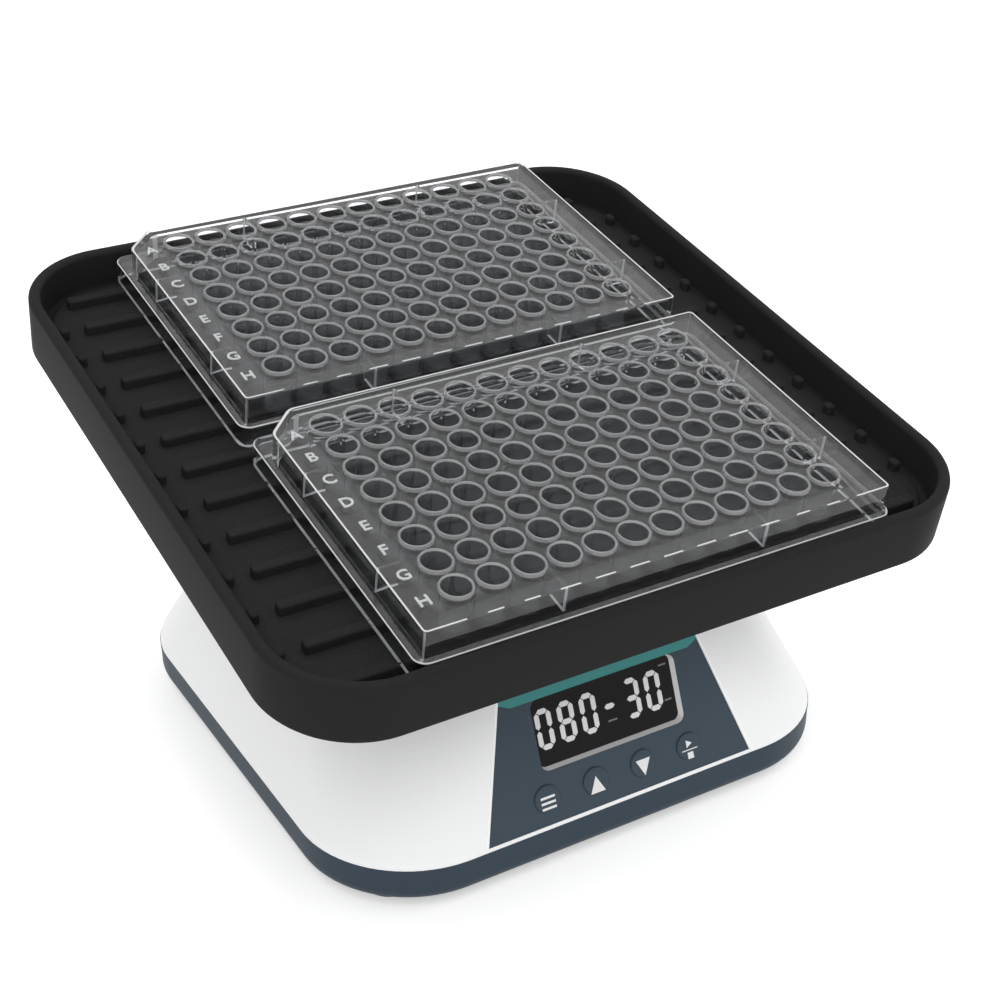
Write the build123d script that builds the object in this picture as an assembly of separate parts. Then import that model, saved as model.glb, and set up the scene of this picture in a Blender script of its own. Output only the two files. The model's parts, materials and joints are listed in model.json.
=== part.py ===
from build123d import *
import os
from math import atan, cos, degrees, radians, sin

# Compact three-dimensional (gyratory rocking) shaker. A belt turns an upright spindle,
# whose head holds a pin that leans by the tilt angle. The platform sits on that pin in
# two bearings and is kept from turning, so it rocks round and round without spinning.
# On the platform lie a ribbed mat and two open 96-well plates.
# Millimetres. Origin on the bench under the spindle, +Z up, -Y is the control panel's side.

# Motion and fits
TILT = 11.0                 # lean of the platform, down towards the panel at rest
WOBBLE_Z = 88.0             # height of the point that the platform rocks about
RUN_GAP = 0.05              # radial gap of a shaft that turns in a bore
FIT_GAP = 0.02              # radial gap of pieces that are pressed or glued together
FACE_GAP = 0.1              # gap between flat faces that turn past each other
SLIDE_GAP = 0.3             # gap beside pieces that lift out or travel
HOLE_OVERRUN = 1.0          # how far a cutting tool passes the face it leaves

# Housing
BASE_W = 147.0              # across, X
BASE_D = 148.0              # front to back, Y
BASE_CORNER_R = 30.0
FOOT_H = 3.0                # pan's height above the bench
PAN_FLOOR = 2.5
PAN_EDGE_R = 4.0
SEAM_Z = 12.0               # where pan and shell meet
SEAM_BEVEL = 0.4
LIP_H = 1.6                 # upright band of the shell above the seam
SHELL_TOP_Z = 58.0
SIDE_SLOPE = 0.40           # how far the shell's sides lean in, per unit of height
CORNER_GROWTH = 0.33        # how the corner radius grows with that lean
WALL = 3.0
SHELL_TOP_R = 10.0
BREAK_R = 5.0
COLLAR_R = 26.0             # upstand round the drive opening
COLLAR_WALL = 3.0
COLLAR_H = 6.0
COLLAR_EDGE_R = 0.9
FOOT_R = 8.0
FOOT_INSET = 17.5           # foot's centre, in from the pan's side
FOOT_SINK = 1.0
FOOT_EDGE = 0.8
POST_INSET = 33.5           # posts that the housing screws run through
POST_R = 4.5
POST_SPLIT = 4.0            # where pan's and shell's posts meet, above the seam
HOUSING_SCREW_R = 1.5
HOUSING_HEAD_R = 2.8
HOUSING_HEAD_H = 3.0
HOUSING_HEAD_SINK = 3.0     # how deep the heads lie in the pan
HOUSING_SCREW_LENGTH = 21.0

# Control panel, on the sloping front
PANEL_FOOT_W = 77.2         # width along its lower edge
PANEL_Y0 = 0.4              # lower edge, measured up the slope from the lip
PANEL_Y1 = 37.6             # upper edge
PANEL_NARROWING = 0.594     # loss of width per unit of height
PANEL_T = 1.6
PANEL_SINK = 0.25
PANEL_LEDGE = 2.0
STRIPE_H = 5.1
STRIPE_CUT = 3.5            # length of the slanting end of the stripe
STRIPE_CUT_H = 1.6
STRIPE_T = 0.8
LCD_Y = 22.8
LCD_W = 41.0
LCD_H = 17.1
LCD_CORNER_R = 1.8
BEZEL_RIM = 0.95
BEZEL_LAND = 0.2            # flat front edge of the rim
BEZEL_T = 1.2
WINDOW_T = 1.0
KEY_Y = 7.0
KEY_PITCH = 13.9
KEY_R = 3.4
KEY_NAMES = ("menu_key", "up_key", "down_key", "start_key")
KEY_GAP = 0.15
KEY_PROUD = 0.5
KEY_TRAVEL = 0.45
KEY_DOME = 0.25
KEY_FLANGE = 0.8            # how far the flange reaches past the cap, and its thickness
SWITCH_SIZE = 6.0
SWITCH_T = 3.0
PLUNGER_R = 1.7
PLUNGER_T = 0.6
BOARD_T = 1.6
BOARD_W = 66.0
BOARD_EDGE = 1.4            # board's margin inside the panel, below and above
STUD_R = 1.9
STUD_INSET = 5.6            # studs that carry the board, in from the panel's edges

# Rear sockets
REAR_W = 54.0
REAR_Z0 = 17.0
REAR_Z1 = 35.0
REAR_RIM = 2.0
REAR_DEPTH = 13.0           # recess floor, in from the pan's rear
REAR_FLOOR_T = 3.0
JACK_X = -13.0
JACK_R = 5.5
JACK_BORE_R = 2.9
JACK_DEPTH = 9.0
JACK_PIN_R = 1.0
JACK_LENGTH = 13.0
JACK_RING_R = 7.0
JACK_RING_T = 1.4
ROCKER_X = 12.0
ROCKER_W = 9.0
ROCKER_H = 13.0
ROCKER_SWING = 14.0
ROCKER_PIN_R = 1.2
ROCKER_AXIS_OUT = 0.2       # rocker's pivot, outwards from the recess floor
ROCKER_TIP = 2.6            # rocker's reach past its pivot, at its ends
ROCKER_WAIST = 1.9          # and in its middle
ROCKER_ROOT = 3.4           # and inwards
ROCKER_ROOT_INSET = 2.2
ROCKER_END_GAP = 0.4
SWITCH_RIM = 1.6
SWITCH_RIM_T = 1.2
SWITCH_BODY_DEPTH = 12.0

# Power board on the pan's floor
POWER_BOARD_W = 24.0
POWER_BOARD_L = 58.0
POWER_BOARD_INSET = 10.5    # outer edge, in from the pan's side
BOSS_H = 3.0
BOSS_INSET = 4.0
CAN_R = 4.0
CAN_H = 12.0
CAN_SPACING = 10.0
CHOKE_SIZE = (12.0, 10.0, 8.0)
CHOKE_Y = 7.0
SOCKET_SIZE = (10.0, 6.0, 6.0)
SOCKET_Y = 20.0

# Chassis and drive
PLATE_T = 2.5               # chassis plate
PLATE_X = (-34.0, 56.0)
PLATE_Y = (-30.0, 33.0)
PLATE_R = 5.0
STANDOFF_R = 3.0
STANDOFF_INSET = 6.0
CHASSIS_SCREW_R = 1.5
CHASSIS_HEAD_R = 2.8
CHASSIS_HEAD_H = 2.0
CHASSIS_SCREW_LENGTH = 8.0
HEX_R = 1.3                 # sockets in the screw heads
HEX_DEPTH = 1.2
SPINDLE_R = 5.0
SPINDLE_CLEAR = 2.5         # spindle's foot above the pan's floor
SPINDLE_EDGE = 0.6
BEARING_R = 11.0            # outer radius of all four ball bearings
BEARING_T = 6.0
BEARING_RACE = 1.6          # radial thickness of a race
BEARING_GROOVE = 0.4
BEARING_SINK = 0.5          # bearings' faces inside the housing's ends
BEARING_SHOULDER = 2.0
HOUSING_WALL = 2.5
HOUSING_H = 23.5
HOUSING_FLANGE_R = 20.0
HOUSING_FLANGE_T = 3.0
HOUSING_FILLET_R = 0.5
HOUSING_BOLT_PCD = 34.0
SPINDLE_PULLEY_R = 24.0
MOTOR_PULLEY_R = 8.0
PULLEY_T = 8.0
PULLEY_RIM = 1.2
PULLEY_RIM_T = 1.0
PULLEY_WEB_T = 3.0
PULLEY_RING = 3.0           # radial thickness of the big pulley's rim
PULLEY_HUB = 4.0
PULLEY_HOLE_R = 3.2
PULLEY_RISE = 1.0           # pulleys above the spindle's foot
PULLEY_CLEAR = 3.0          # chassis plate above the pulleys
BELT_T = 1.2
BELT_GAP = 0.3
MOTOR_X = 37.0
MOTOR_Y = 13.0
MOTOR_R = 16.0
MOTOR_H = 27.0
MOTOR_EDGE_R = 1.5
MOTOR_CAP_R = 7.2
MOTOR_CAP_T = 1.5
MOTOR_SHAFT_R = 2.0
MOTOR_SHAFT_GRIP = 13.5     # length of shaft inside the motor
MOTOR_SCREW_PCD = 22.0
MOTOR_SCREW_GRIP = 3.5
HEAD_R = 15.0               # spindle head that holds the leaning pin
HEAD_CLEAR = 1.5            # gap over the bearing housing
HEAD_SOCKET = 5.5
WEIGHT_R = 21.5
WEIGHT_T = 6.0

# Hub, in the deck frame: heights along the platform's normal from the rocking point
PIN_R = 4.0
PIN_GRIP = 8.0              # length of pin in the spindle's head
PIN_EDGE = 0.4
TRAY_LOW = -1.0
HUB_CAP = 4.0               # tray's underside to the upper hub bearing
HUB_BEARING_T = 7.0
HUB_SPAN = 18.0             # over both hub bearings
HUB_WALL = 5.0
HUB_CLEAR = 1.4             # hub's lower end to the spindle's head
HUB_EYE_R = 9.0
HUB_FILLET_R = 2.0
HUB_WEBS = 6
HUB_WEB_T = 3.0
HUB_WEB_H = 5.0
FLANGE_R = 34.0
FLANGE_T = 3.5
SPACER_R = 6.0
WASHER_T = 1.0
PIN_SCREW_R = 3.4
PIN_SCREW_H = 1.9
CLIP_T = 1.0
CLIP_LIP = 0.5
CLIP_MOUTH = 5.0
BOOT_R = 36.6
BOOT_WAIST_R = 33.0
BOOT_WALL = 1.4
BOOT_FOLDS = 3
BOOT_FOLD_PITCH = 5.0
CLAMP_T = 0.9
CLAMP_H = 2.4
CLAMP_DROP = 1.0
CLAMP_LUG = 2.6

# Tray and mat
TRAY_W = 184.4
TRAY_R = 24.0
TRAY_WALL = 3.2
TRAY_H = 14.0               # above the floor's underside
TRAY_SKIRT = 1.8            # how far the wall reaches below the floor
TRAY_FLOOR = 3.0
TRAY_LIP_R = 1.2
TRAY_FOOT_R = 0.9
TRAY_INNER_R = 1.5
MAT_MARGIN = 2.5            # mat's edge to the tray's wall
MAT_T = 1.8
RIB_H = 2.55
RIB_W = 3.0
RIB_END_R = 0.9
RIB_PITCH = 13.3
RIB_MARGIN = 9.6            # ribs' ends to the tray's wall
STUB_GAP = 4.4              # from a rib's end to the short stub beyond it
TRAY_SCREW_PCD = 50.0
TRAY_SCREW_R = 2.0
TRAY_HEAD_R = 3.8
TRAY_HEAD_T = 1.8

# Microplates, with the standard footprint, height and pitch of a 96-well plate
MICROPLATE_L = 127.76
MICROPLATE_W = 85.48
MICROPLATE_H = 14.35
MICROPLATE_R = 3.2
MICROPLATE_WALL = 1.2
SKIRT_H = 6.0
LEDGE_W = 1.58              # how far the upper walls stand back from the skirt
CORNER_CUT = 7.5            # corner beside well A1, measured along the walls
RIM_H = 0.85                # wells' rims above the plate's deck
DECK_T = 1.2
WEB_T = 0.8                 # stiffening webs inside the upper walls
WEB_REACH = 5.3
WEB_COLUMN = 3.0            # webs' places from the plate's middle, in well pitches
WEB_ROW = 2.0
WELL_PITCH = 9.0
WELL_COLUMNS = 12
WELL_ROWS = 8
WELL_R = 3.43
WELL_WALL = 0.6
WELL_DEPTH = 10.9
PLATE_MARGIN = 0.4          # front plate to the tray's front wall
PLATE_STEP_Y = 89.6         # from plate to plate

# Places that follow from the sizes above
BREAK_Z = SEAM_Z + LIP_H
FLOOR_TOP_Z = FOOT_H + PAN_FLOOR
FOOT_AT = BASE_W / 2 - FOOT_INSET
POST_AT = BASE_W / 2 - POST_INSET
POST_SPLIT_Z = SEAM_Z + POST_SPLIT
HOUSING_HEAD_Z = FOOT_H + HOUSING_HEAD_SINK
HOUSING_SCREW_TOP_Z = HOUSING_HEAD_Z + HOUSING_HEAD_H + HOUSING_SCREW_LENGTH
PANEL_FRONT = -PANEL_SINK
PANEL_BACK = PANEL_FRONT - PANEL_T
STRIPE_Y0 = PANEL_Y1 - STRIPE_H
KEY_FLANGE_TOP = PANEL_BACK - FIT_GAP
PLUNGER_TOP = KEY_FLANGE_TOP - KEY_FLANGE - KEY_TRAVEL - FIT_GAP
SWITCH_TOP = PLUNGER_TOP - PLUNGER_T
BOARD_TOP = SWITCH_TOP - SWITCH_T
WINDOW_FRONT = PANEL_FRONT - BEZEL_T
WINDOW_BACK = WINDOW_FRONT - WINDOW_T
REAR_FLOOR_Y = BASE_D / 2 - REAR_DEPTH
REAR_INNER_Y = REAR_FLOOR_Y - REAR_FLOOR_T
BOARD_REST_Z = FLOOR_TOP_Z + BOSS_H
POWER_BOARD_X = POWER_BOARD_INSET + POWER_BOARD_W / 2 - BASE_W / 2
SPINDLE_Z0 = FLOOR_TOP_Z + SPINDLE_CLEAR
PULLEY_Z0 = SPINDLE_Z0 + PULLEY_RISE
PULLEY_Z1 = PULLEY_Z0 + PULLEY_T
PLATE_Z = PULLEY_Z1 + PULLEY_CLEAR
PLATE_TOP_Z = PLATE_Z + PLATE_T
HOUSING_TOP_Z = PLATE_TOP_Z + HOUSING_H
LOWER_BEARING_Z = PLATE_TOP_Z + BEARING_SINK
UPPER_BEARING_Z = HOUSING_TOP_Z - BEARING_T - BEARING_SINK
HEAD_Z0 = HOUSING_TOP_Z + HEAD_CLEAR
HUB_UPPER = TRAY_LOW - HUB_CAP
HUB_LOWER = HUB_UPPER - HUB_SPAN
HUB_LOW = HUB_LOWER - FACE_GAP - CLIP_T - CLIP_LIP
HEAD_FACE = HUB_LOW - HUB_CLEAR
PIN_LOW = HEAD_FACE - PIN_GRIP
TRAY_TOP = TRAY_LOW + TRAY_H
TRAY_FLOOR_TOP = TRAY_LOW + TRAY_FLOOR
TRAY_INNER_W = TRAY_W - 2 * TRAY_WALL
MAT_W = TRAY_INNER_W - 2 * MAT_MARGIN
MAT_TOP = TRAY_FLOOR_TOP + MAT_T
RIB_TOP = MAT_TOP + RIB_H
RIB_COUNT = int((MAT_W - RIB_W) / RIB_PITCH) + 1
PLATE_FRONT_Y = MICROPLATE_W / 2 + PLATE_MARGIN - TRAY_INNER_W / 2
PLATE_DECK_TOP = MICROPLATE_H - RIM_H
PLATE_HOLLOW_TOP = PLATE_DECK_TOP - DECK_T
DECK = Location((0, 0, WOBBLE_Z), (TILT, 0, 0))
FRONT = Plane(origin=(0, -BASE_D / 2, BREAK_Z), x_dir=(1, 0, 0), z_dir=(0, -1, SIDE_SLOPE))


def slab(width, depth, radius, low, high):
    """Upright block with rounded corners, centred on the Z axis."""
    return extrude(Plane.XY.offset(low) * RectangleRounded(width, depth, radius), amount=high - low)


def rod(radius, low, high, x=0.0, y=0.0):
    """Upright cylinder between two heights."""
    return Pos(x, y, low) * Cylinder(radius, high - low, align=(Align.CENTER, Align.CENTER, Align.MIN))


def ring(outer, inner, low, high, x=0.0, y=0.0):
    """Upright tube between two heights."""
    return rod(outer, low, high, x, y) - rod(inner, low - HOLE_OVERRUN, high + HOLE_OVERRUN, x, y)


def hex_socket(top, x=0.0, y=0.0):
    """Six-sided socket in a screw's head, down from a height."""
    return extrude(Plane.XY.offset(top) * Pos(x, y) * RegularPolygon(HEX_R, 6), amount=-HEX_DEPTH)


def block(x_span, y_span, z_span):
    """Box between two corners."""
    size = [span[1] - span[0] for span in (x_span, y_span, z_span)]
    middle = [(span[1] + span[0]) / 2 for span in (x_span, y_span, z_span)]
    return Pos(*middle) * Box(*size)


def shell_section(height, shrink):
    """Outline of the shell at a height, drawn in by shrink on every side."""
    lean = max(height - BREAK_Z, 0.0) * SIDE_SLOPE
    inset = 2 * (lean + shrink)
    radius = BASE_CORNER_R + CORNER_GROWTH * lean - shrink
    return Plane.XY.offset(height) * RectangleRounded(BASE_W - inset, BASE_D - inset, radius)


def shell_body(shrink, low, high):
    """The shell's bulk from low to high: an upright lip, then leaning sides."""
    lip = extrude(shell_section(low, shrink), amount=BREAK_Z - low)
    sides = loft([shell_section(BREAK_Z, shrink), shell_section(high, shrink)], ruled=True)
    return lip + sides


def level_edges(shape, height):
    """Edges that lie wholly at one height."""
    return shape.edges().filter_by_position(Axis.Z, height - 0.01, height + 0.01)


def square_places(distance):
    """The four corners of a square about the Z axis."""
    return [(x * distance, y * distance) for x in (-1, 1) for y in (-1, 1)]


def circle_places(diameter, count, start=0.0):
    """Evenly spaced places on a circle about the Z axis."""
    angles = [radians(start + 360.0 * index / count) for index in range(count)]
    return [(diameter / 2 * cos(angle), diameter / 2 * sin(angle)) for angle in angles]


def fused(shapes):
    """One shape from many, added in turn."""
    whole = shapes[0]
    for shape in shapes[1:]:
        whole = whole + shape
    return whole


def on_deck(shape):
    """Places a shape drawn in the deck frame."""
    return DECK * shape


def on_front(shape):
    """Places a shape drawn on the sloping front: x across, y up the slope, z outwards."""
    return FRONT.location * shape


# Housing


def top_shell():
    outer = shell_body(0.0, SEAM_Z, SHELL_TOP_Z)
    outer = fillet(level_edges(outer, BREAK_Z), BREAK_R)
    outer = fillet(level_edges(outer, SHELL_TOP_Z), SHELL_TOP_R)
    outer = chamfer(level_edges(outer, SEAM_Z), SEAM_BEVEL)
    cavity = shell_body(WALL, SEAM_Z - HOLE_OVERRUN, SHELL_TOP_Z - WALL)
    cavity = fillet(level_edges(cavity, SHELL_TOP_Z - WALL), SHELL_TOP_R - WALL)
    shell = outer - cavity
    shell += rod(COLLAR_R, SHELL_TOP_Z - WALL, SHELL_TOP_Z + COLLAR_H)
    shell -= rod(COLLAR_R - COLLAR_WALL, SHELL_TOP_Z - 2 * WALL, SHELL_TOP_Z + COLLAR_H + HOLE_OVERRUN)
    shell = fillet(level_edges(shell, SHELL_TOP_Z + COLLAR_H), COLLAR_EDGE_R)
    posts = [rod(POST_R, POST_SPLIT_Z, SHELL_TOP_Z - WALL / 2, x, y) for x, y in square_places(POST_AT)]
    shell = fused([shell] + posts)
    for x, y in square_places(POST_AT):
        shell -= rod(HOUSING_SCREW_R, POST_SPLIT_Z - HOLE_OVERRUN, HOUSING_SCREW_TOP_Z + HOLE_OVERRUN, x, y)
    shell -= on_front(panel_outline(PANEL_BACK, WALL, 0.0))
    shell -= on_front(panel_outline(-2 * WALL, HOLE_OVERRUN, PANEL_LEDGE))
    shell -= rear_pocket(FIT_GAP)
    return shell


def bottom_pan():
    outer = slab(BASE_W, BASE_D, BASE_CORNER_R, FOOT_H, SEAM_Z)
    outer = fillet(level_edges(outer, FOOT_H), PAN_EDGE_R)
    outer = chamfer(level_edges(outer, SEAM_Z), SEAM_BEVEL)
    hollow = slab(BASE_W - 2 * WALL, BASE_D - 2 * WALL, BASE_CORNER_R - WALL, FLOOR_TOP_Z, SEAM_Z + WALL)
    pan = outer - hollow
    posts = [rod(POST_R, FOOT_H, POST_SPLIT_Z, x, y) for x, y in square_places(POST_AT)]
    bosses = [rod(STANDOFF_R, FOOT_H, BOARD_REST_Z, x, y) for x, y in power_board_bosses()]
    pan = fused([pan] + posts + bosses)
    for x, y in square_places(POST_AT):
        pan -= rod(HOUSING_SCREW_R + FIT_GAP, FOOT_H - HOLE_OVERRUN, POST_SPLIT_Z + HOLE_OVERRUN, x, y)
        pan -= rod(HOUSING_HEAD_R + FIT_GAP, FOOT_H - HOLE_OVERRUN, HOUSING_HEAD_Z + HOUSING_HEAD_H, x, y)
    for x, y in square_places(FOOT_AT):
        pan -= rod(FOOT_R + FIT_GAP, FOOT_H - HOLE_OVERRUN, FOOT_H + FOOT_SINK, x, y)
    return pan


def rubber_feet():
    feet = []
    for x, y in square_places(FOOT_AT):
        foot = rod(FOOT_R, 0, FOOT_H + FOOT_SINK, x, y)
        feet.append(chamfer(level_edges(foot, 0), FOOT_EDGE))
    return Compound(feet)


def housing_screws():
    screws = []
    for x, y in square_places(POST_AT):
        head = rod(HOUSING_HEAD_R, HOUSING_HEAD_Z, HOUSING_HEAD_Z + HOUSING_HEAD_H, x, y)
        shank = rod(HOUSING_SCREW_R - FIT_GAP, HOUSING_HEAD_Z, HOUSING_SCREW_TOP_Z, x, y)
        screws.append(head + shank - hex_socket(HOUSING_HEAD_Z + HEX_DEPTH, x, y))
    return Compound(screws)


# Control panel


def panel_outline(low, high, inset):
    """Trapezium of the panel as a block in the front frame, drawn in by inset."""
    y0 = PANEL_Y0 + inset
    y1 = PANEL_Y1 - inset
    foot = panel_half_width(y0) - inset
    head = panel_half_width(y1) - inset
    outline = Polygon((-foot, y0), (foot, y0), (head, y1), (-head, y1), align=None)
    return extrude(Plane.XY.offset(low) * outline, amount=high - low)


def panel_half_width(y):
    """Half the panel's width at a height up the slope."""
    return (PANEL_FOOT_W - PANEL_NARROWING * (y - PANEL_Y0)) / 2


def stripe_outline(low, high):
    """The coloured stripe across the panel's head, with slanting lower ends."""
    y_cut = STRIPE_Y0 + STRIPE_CUT_H
    foot = panel_half_width(STRIPE_Y0) - STRIPE_CUT
    side = panel_half_width(y_cut)
    head = panel_half_width(PANEL_Y1)
    right = [(foot, STRIPE_Y0), (side, y_cut), (head, PANEL_Y1)]
    left = [(-x, y) for x, y in reversed(right)]
    return extrude(Plane.XY.offset(low) * Polygon(*right, *left, align=None), amount=high - low)


def key_places():
    """Centres of the four keys, left to right."""
    first = -KEY_PITCH * (len(KEY_NAMES) - 1) / 2
    return [(first + KEY_PITCH * index, KEY_Y) for index in range(len(KEY_NAMES))]


def lcd_block(grow, low, high):
    """Rounded block in the place of the display, grown on every side."""
    outline = RectangleRounded(LCD_W + 2 * grow, LCD_H + 2 * grow, LCD_CORNER_R + grow)
    return extrude(Plane.XY.offset(low) * Pos(0, LCD_Y) * outline, amount=high - low)


def stud_places():
    """Places of the studs on the panel's back, two low and two high."""
    heights = (PANEL_Y0 + STUD_INSET, PANEL_Y1 - STUD_INSET)
    return [(side * (panel_half_width(y) - STUD_INSET), y) for y in heights for side in (-1, 1)]


def control_panel():
    panel = panel_outline(PANEL_BACK, PANEL_FRONT, FIT_GAP)
    panel -= stripe_outline(PANEL_FRONT - STRIPE_T, PANEL_FRONT + HOLE_OVERRUN)
    panel -= lcd_block(BEZEL_RIM + FIT_GAP, PANEL_BACK - HOLE_OVERRUN, PANEL_FRONT + HOLE_OVERRUN)
    for x, y in key_places():
        panel -= rod(KEY_R + KEY_GAP, PANEL_BACK - HOLE_OVERRUN, PANEL_FRONT + HOLE_OVERRUN, x, y)
    studs = [rod(STUD_R, BOARD_TOP, PANEL_BACK, x, y) for x, y in stud_places()]
    return on_front(fused([panel] + studs))


def accent_stripe():
    return on_front(stripe_outline(PANEL_FRONT - STRIPE_T, PANEL_FRONT))


def lcd_bezel():
    frame = lcd_block(BEZEL_RIM, WINDOW_FRONT, PANEL_FRONT)
    inner = Plane.XY.offset(WINDOW_FRONT) * Pos(0, LCD_Y) * RectangleRounded(LCD_W, LCD_H, LCD_CORNER_R)
    wide = BEZEL_RIM - BEZEL_LAND
    outline = RectangleRounded(LCD_W + 2 * wide, LCD_H + 2 * wide, LCD_CORNER_R + wide)
    mouth = Plane.XY.offset(PANEL_FRONT) * Pos(0, LCD_Y) * outline
    return on_front(frame - loft([inner, mouth], ruled=True))


def lcd_window():
    return on_front(lcd_block(BEZEL_RIM - FIT_GAP, WINDOW_BACK, WINDOW_FRONT))


def lcd_module():
    return on_front(lcd_block(BEZEL_RIM - FIT_GAP, BOARD_TOP, WINDOW_BACK))


def control_board():
    y_span = (PANEL_Y0 + BOARD_EDGE, PANEL_Y1 - BOARD_EDGE)
    board = block((-BOARD_W / 2, BOARD_W / 2), y_span, (BOARD_TOP - BOARD_T, BOARD_TOP))
    return on_front(board)


def key_switches():
    switches = []
    for x, y in key_places():
        half = SWITCH_SIZE / 2
        case = block((x - half, x + half), (y - half, y + half), (BOARD_TOP, SWITCH_TOP))
        switches.append(on_front(case + rod(PLUNGER_R, SWITCH_TOP, PLUNGER_TOP, x, y)))
    return Compound(switches)


def key_cap(x, y):
    """A round key: a cap with a shallow crown, and a flange behind the panel."""
    crown = Plane.XY.offset(PANEL_FRONT + KEY_PROUD - KEY_DOME) * Pos(x, y) * Circle(KEY_R)
    crest = Plane.XY.offset(PANEL_FRONT + KEY_PROUD) * Pos(x, y) * Circle(KEY_R - 2 * KEY_DOME)
    cap = rod(KEY_R, KEY_FLANGE_TOP, PANEL_FRONT + KEY_PROUD - KEY_DOME, x, y)
    flange = rod(KEY_R + KEY_FLANGE, KEY_FLANGE_TOP - KEY_FLANGE, KEY_FLANGE_TOP, x, y)
    return on_front(fused([flange, cap, loft([crown, crest], ruled=True)]))


# Rear sockets


def rear_pocket(gap):
    """Opening in the rear wall for the socket plate."""
    half = REAR_W / 2 + gap
    return block((-half, half), (REAR_INNER_Y, BASE_D / 2 + WALL), (REAR_Z0 - gap, REAR_Z1 + gap))


def rear_middle():
    """Height of the sockets' centre line."""
    return (REAR_Z0 + REAR_Z1) / 2


def along_y(shape, x):
    """Turns an upright shape so that +Z points to the rear, at the sockets' height."""
    return Location((x, REAR_FLOOR_Y, rear_middle()), (-90, 0, 0)) * shape


def rear_plate():
    bulk = shell_body(0.0, SEAM_Z, SHELL_TOP_Z) & rear_pocket(0.0)
    half = REAR_W / 2 - REAR_RIM
    recess_z = (REAR_Z0 + REAR_RIM, REAR_Z1 - REAR_RIM)
    plate = bulk - block((-half, half), (REAR_FLOOR_Y, BASE_D / 2 + WALL), recess_z)
    plate -= along_y(rod(JACK_R + FIT_GAP, -JACK_LENGTH, HOLE_OVERRUN), JACK_X)
    hole = Box(ROCKER_W + 2 * SWITCH_RIM, ROCKER_H + 2 * SWITCH_RIM, SWITCH_BODY_DEPTH)
    return plate - along_y(hole, ROCKER_X)


def power_inlet():
    barrel = rod(JACK_R, JACK_RING_T - JACK_LENGTH, 0)
    jack = barrel + rod(JACK_RING_R, 0, JACK_RING_T)
    jack -= rod(JACK_BORE_R, JACK_RING_T - JACK_DEPTH, JACK_RING_T + HOLE_OVERRUN)
    jack += rod(JACK_PIN_R, JACK_RING_T - JACK_DEPTH, 0)
    return along_y(jack, JACK_X)


def rocker_swept(gap):
    """Room for the rocker through its whole swing: a lens-shaped block."""
    radius = ROCKER_H / 2 + gap
    barrel = Rot(0, 90, 0) * Cylinder(radius, ROCKER_W + 2 * gap)
    return Pos(0, 0, ROCKER_AXIS_OUT) * barrel


def switch_body():
    width = ROCKER_W + 2 * SWITCH_RIM - 2 * FIT_GAP
    height = ROCKER_H + 2 * SWITCH_RIM - 2 * FIT_GAP
    case = block((-width / 2, width / 2), (-height / 2, height / 2), (-SWITCH_BODY_DEPTH, SWITCH_RIM_T))
    case -= rocker_swept(SLIDE_GAP)
    pin = Rot(0, 90, 0) * Cylinder(ROCKER_PIN_R, ROCKER_W + SWITCH_RIM)
    return along_y(case + Pos(0, 0, ROCKER_AXIS_OUT) * pin, ROCKER_X)


def switch_rocker():
    """Rocker with two faces that meet in a shallow V over the pivot."""
    reach = ROCKER_H / 2 - ROCKER_END_GAP
    root = reach - ROCKER_ROOT_INSET
    right = [(root, -ROCKER_ROOT), (reach - ROCKER_END_GAP, ROCKER_TIP)]
    left = [(-y, z) for y, z in reversed(right)]
    profile = Polygon(*right, (0, ROCKER_WAIST), *left, align=None)
    bar = extrude(Plane.YZ * profile, amount=ROCKER_W / 2, both=True)
    bar -= Rot(0, 90, 0) * Cylinder(ROCKER_PIN_R + RUN_GAP, ROCKER_W + SWITCH_RIM)
    rocker = Rot(ROCKER_SWING / 2, 0, 0) * bar
    return along_y(Pos(0, 0, ROCKER_AXIS_OUT) * rocker, ROCKER_X)


# Chassis and drive


def power_board_bosses():
    """Bosses on the pan's floor under the power board."""
    x_reach = POWER_BOARD_W / 2 - BOSS_INSET
    y_reach = POWER_BOARD_L / 2 - BOSS_INSET
    return [(POWER_BOARD_X + x * x_reach, y * y_reach) for x in (-1, 1) for y in (-1, 1)]


def on_board(size, y):
    """Box of a given size that stands on the power board."""
    seat = BOARD_REST_Z + BOARD_T
    return Pos(POWER_BOARD_X, y, seat + size[2] / 2) * Box(*size)


def power_board():
    """Board with two capacitors, a choke and a plug socket, each a solid of its own."""
    seat = BOARD_REST_Z + BOARD_T
    quarter = POWER_BOARD_L / 4
    board = Pos(POWER_BOARD_X, 0, BOARD_REST_Z + BOARD_T / 2) * Box(POWER_BOARD_W, POWER_BOARD_L, BOARD_T)
    can_y = [side * CAN_SPACING / 2 - quarter for side in (-1, 1)]
    cans = [rod(CAN_R, seat, seat + CAN_H, POWER_BOARD_X, y) for y in can_y]
    return Compound([board] + cans + [on_board(CHOKE_SIZE, CHOKE_Y), on_board(SOCKET_SIZE, SOCKET_Y)])


def standoff_places():
    """Corners of the chassis plate where it is held."""
    xs = (PLATE_X[0] + STANDOFF_INSET, PLATE_X[1] - STANDOFF_INSET)
    ys = (PLATE_Y[0] + STANDOFF_INSET, PLATE_Y[1] - STANDOFF_INSET)
    return [(x, y) for x in xs for y in ys]


def chassis_standoffs():
    depth = CHASSIS_SCREW_LENGTH - PLATE_T
    posts = []
    for x, y in standoff_places():
        post = rod(STANDOFF_R, FLOOR_TOP_Z, PLATE_Z, x, y)
        posts.append(post - rod(CHASSIS_SCREW_R + FIT_GAP, PLATE_Z - depth, PLATE_Z + HOLE_OVERRUN, x, y))
    return Compound(posts)


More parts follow.
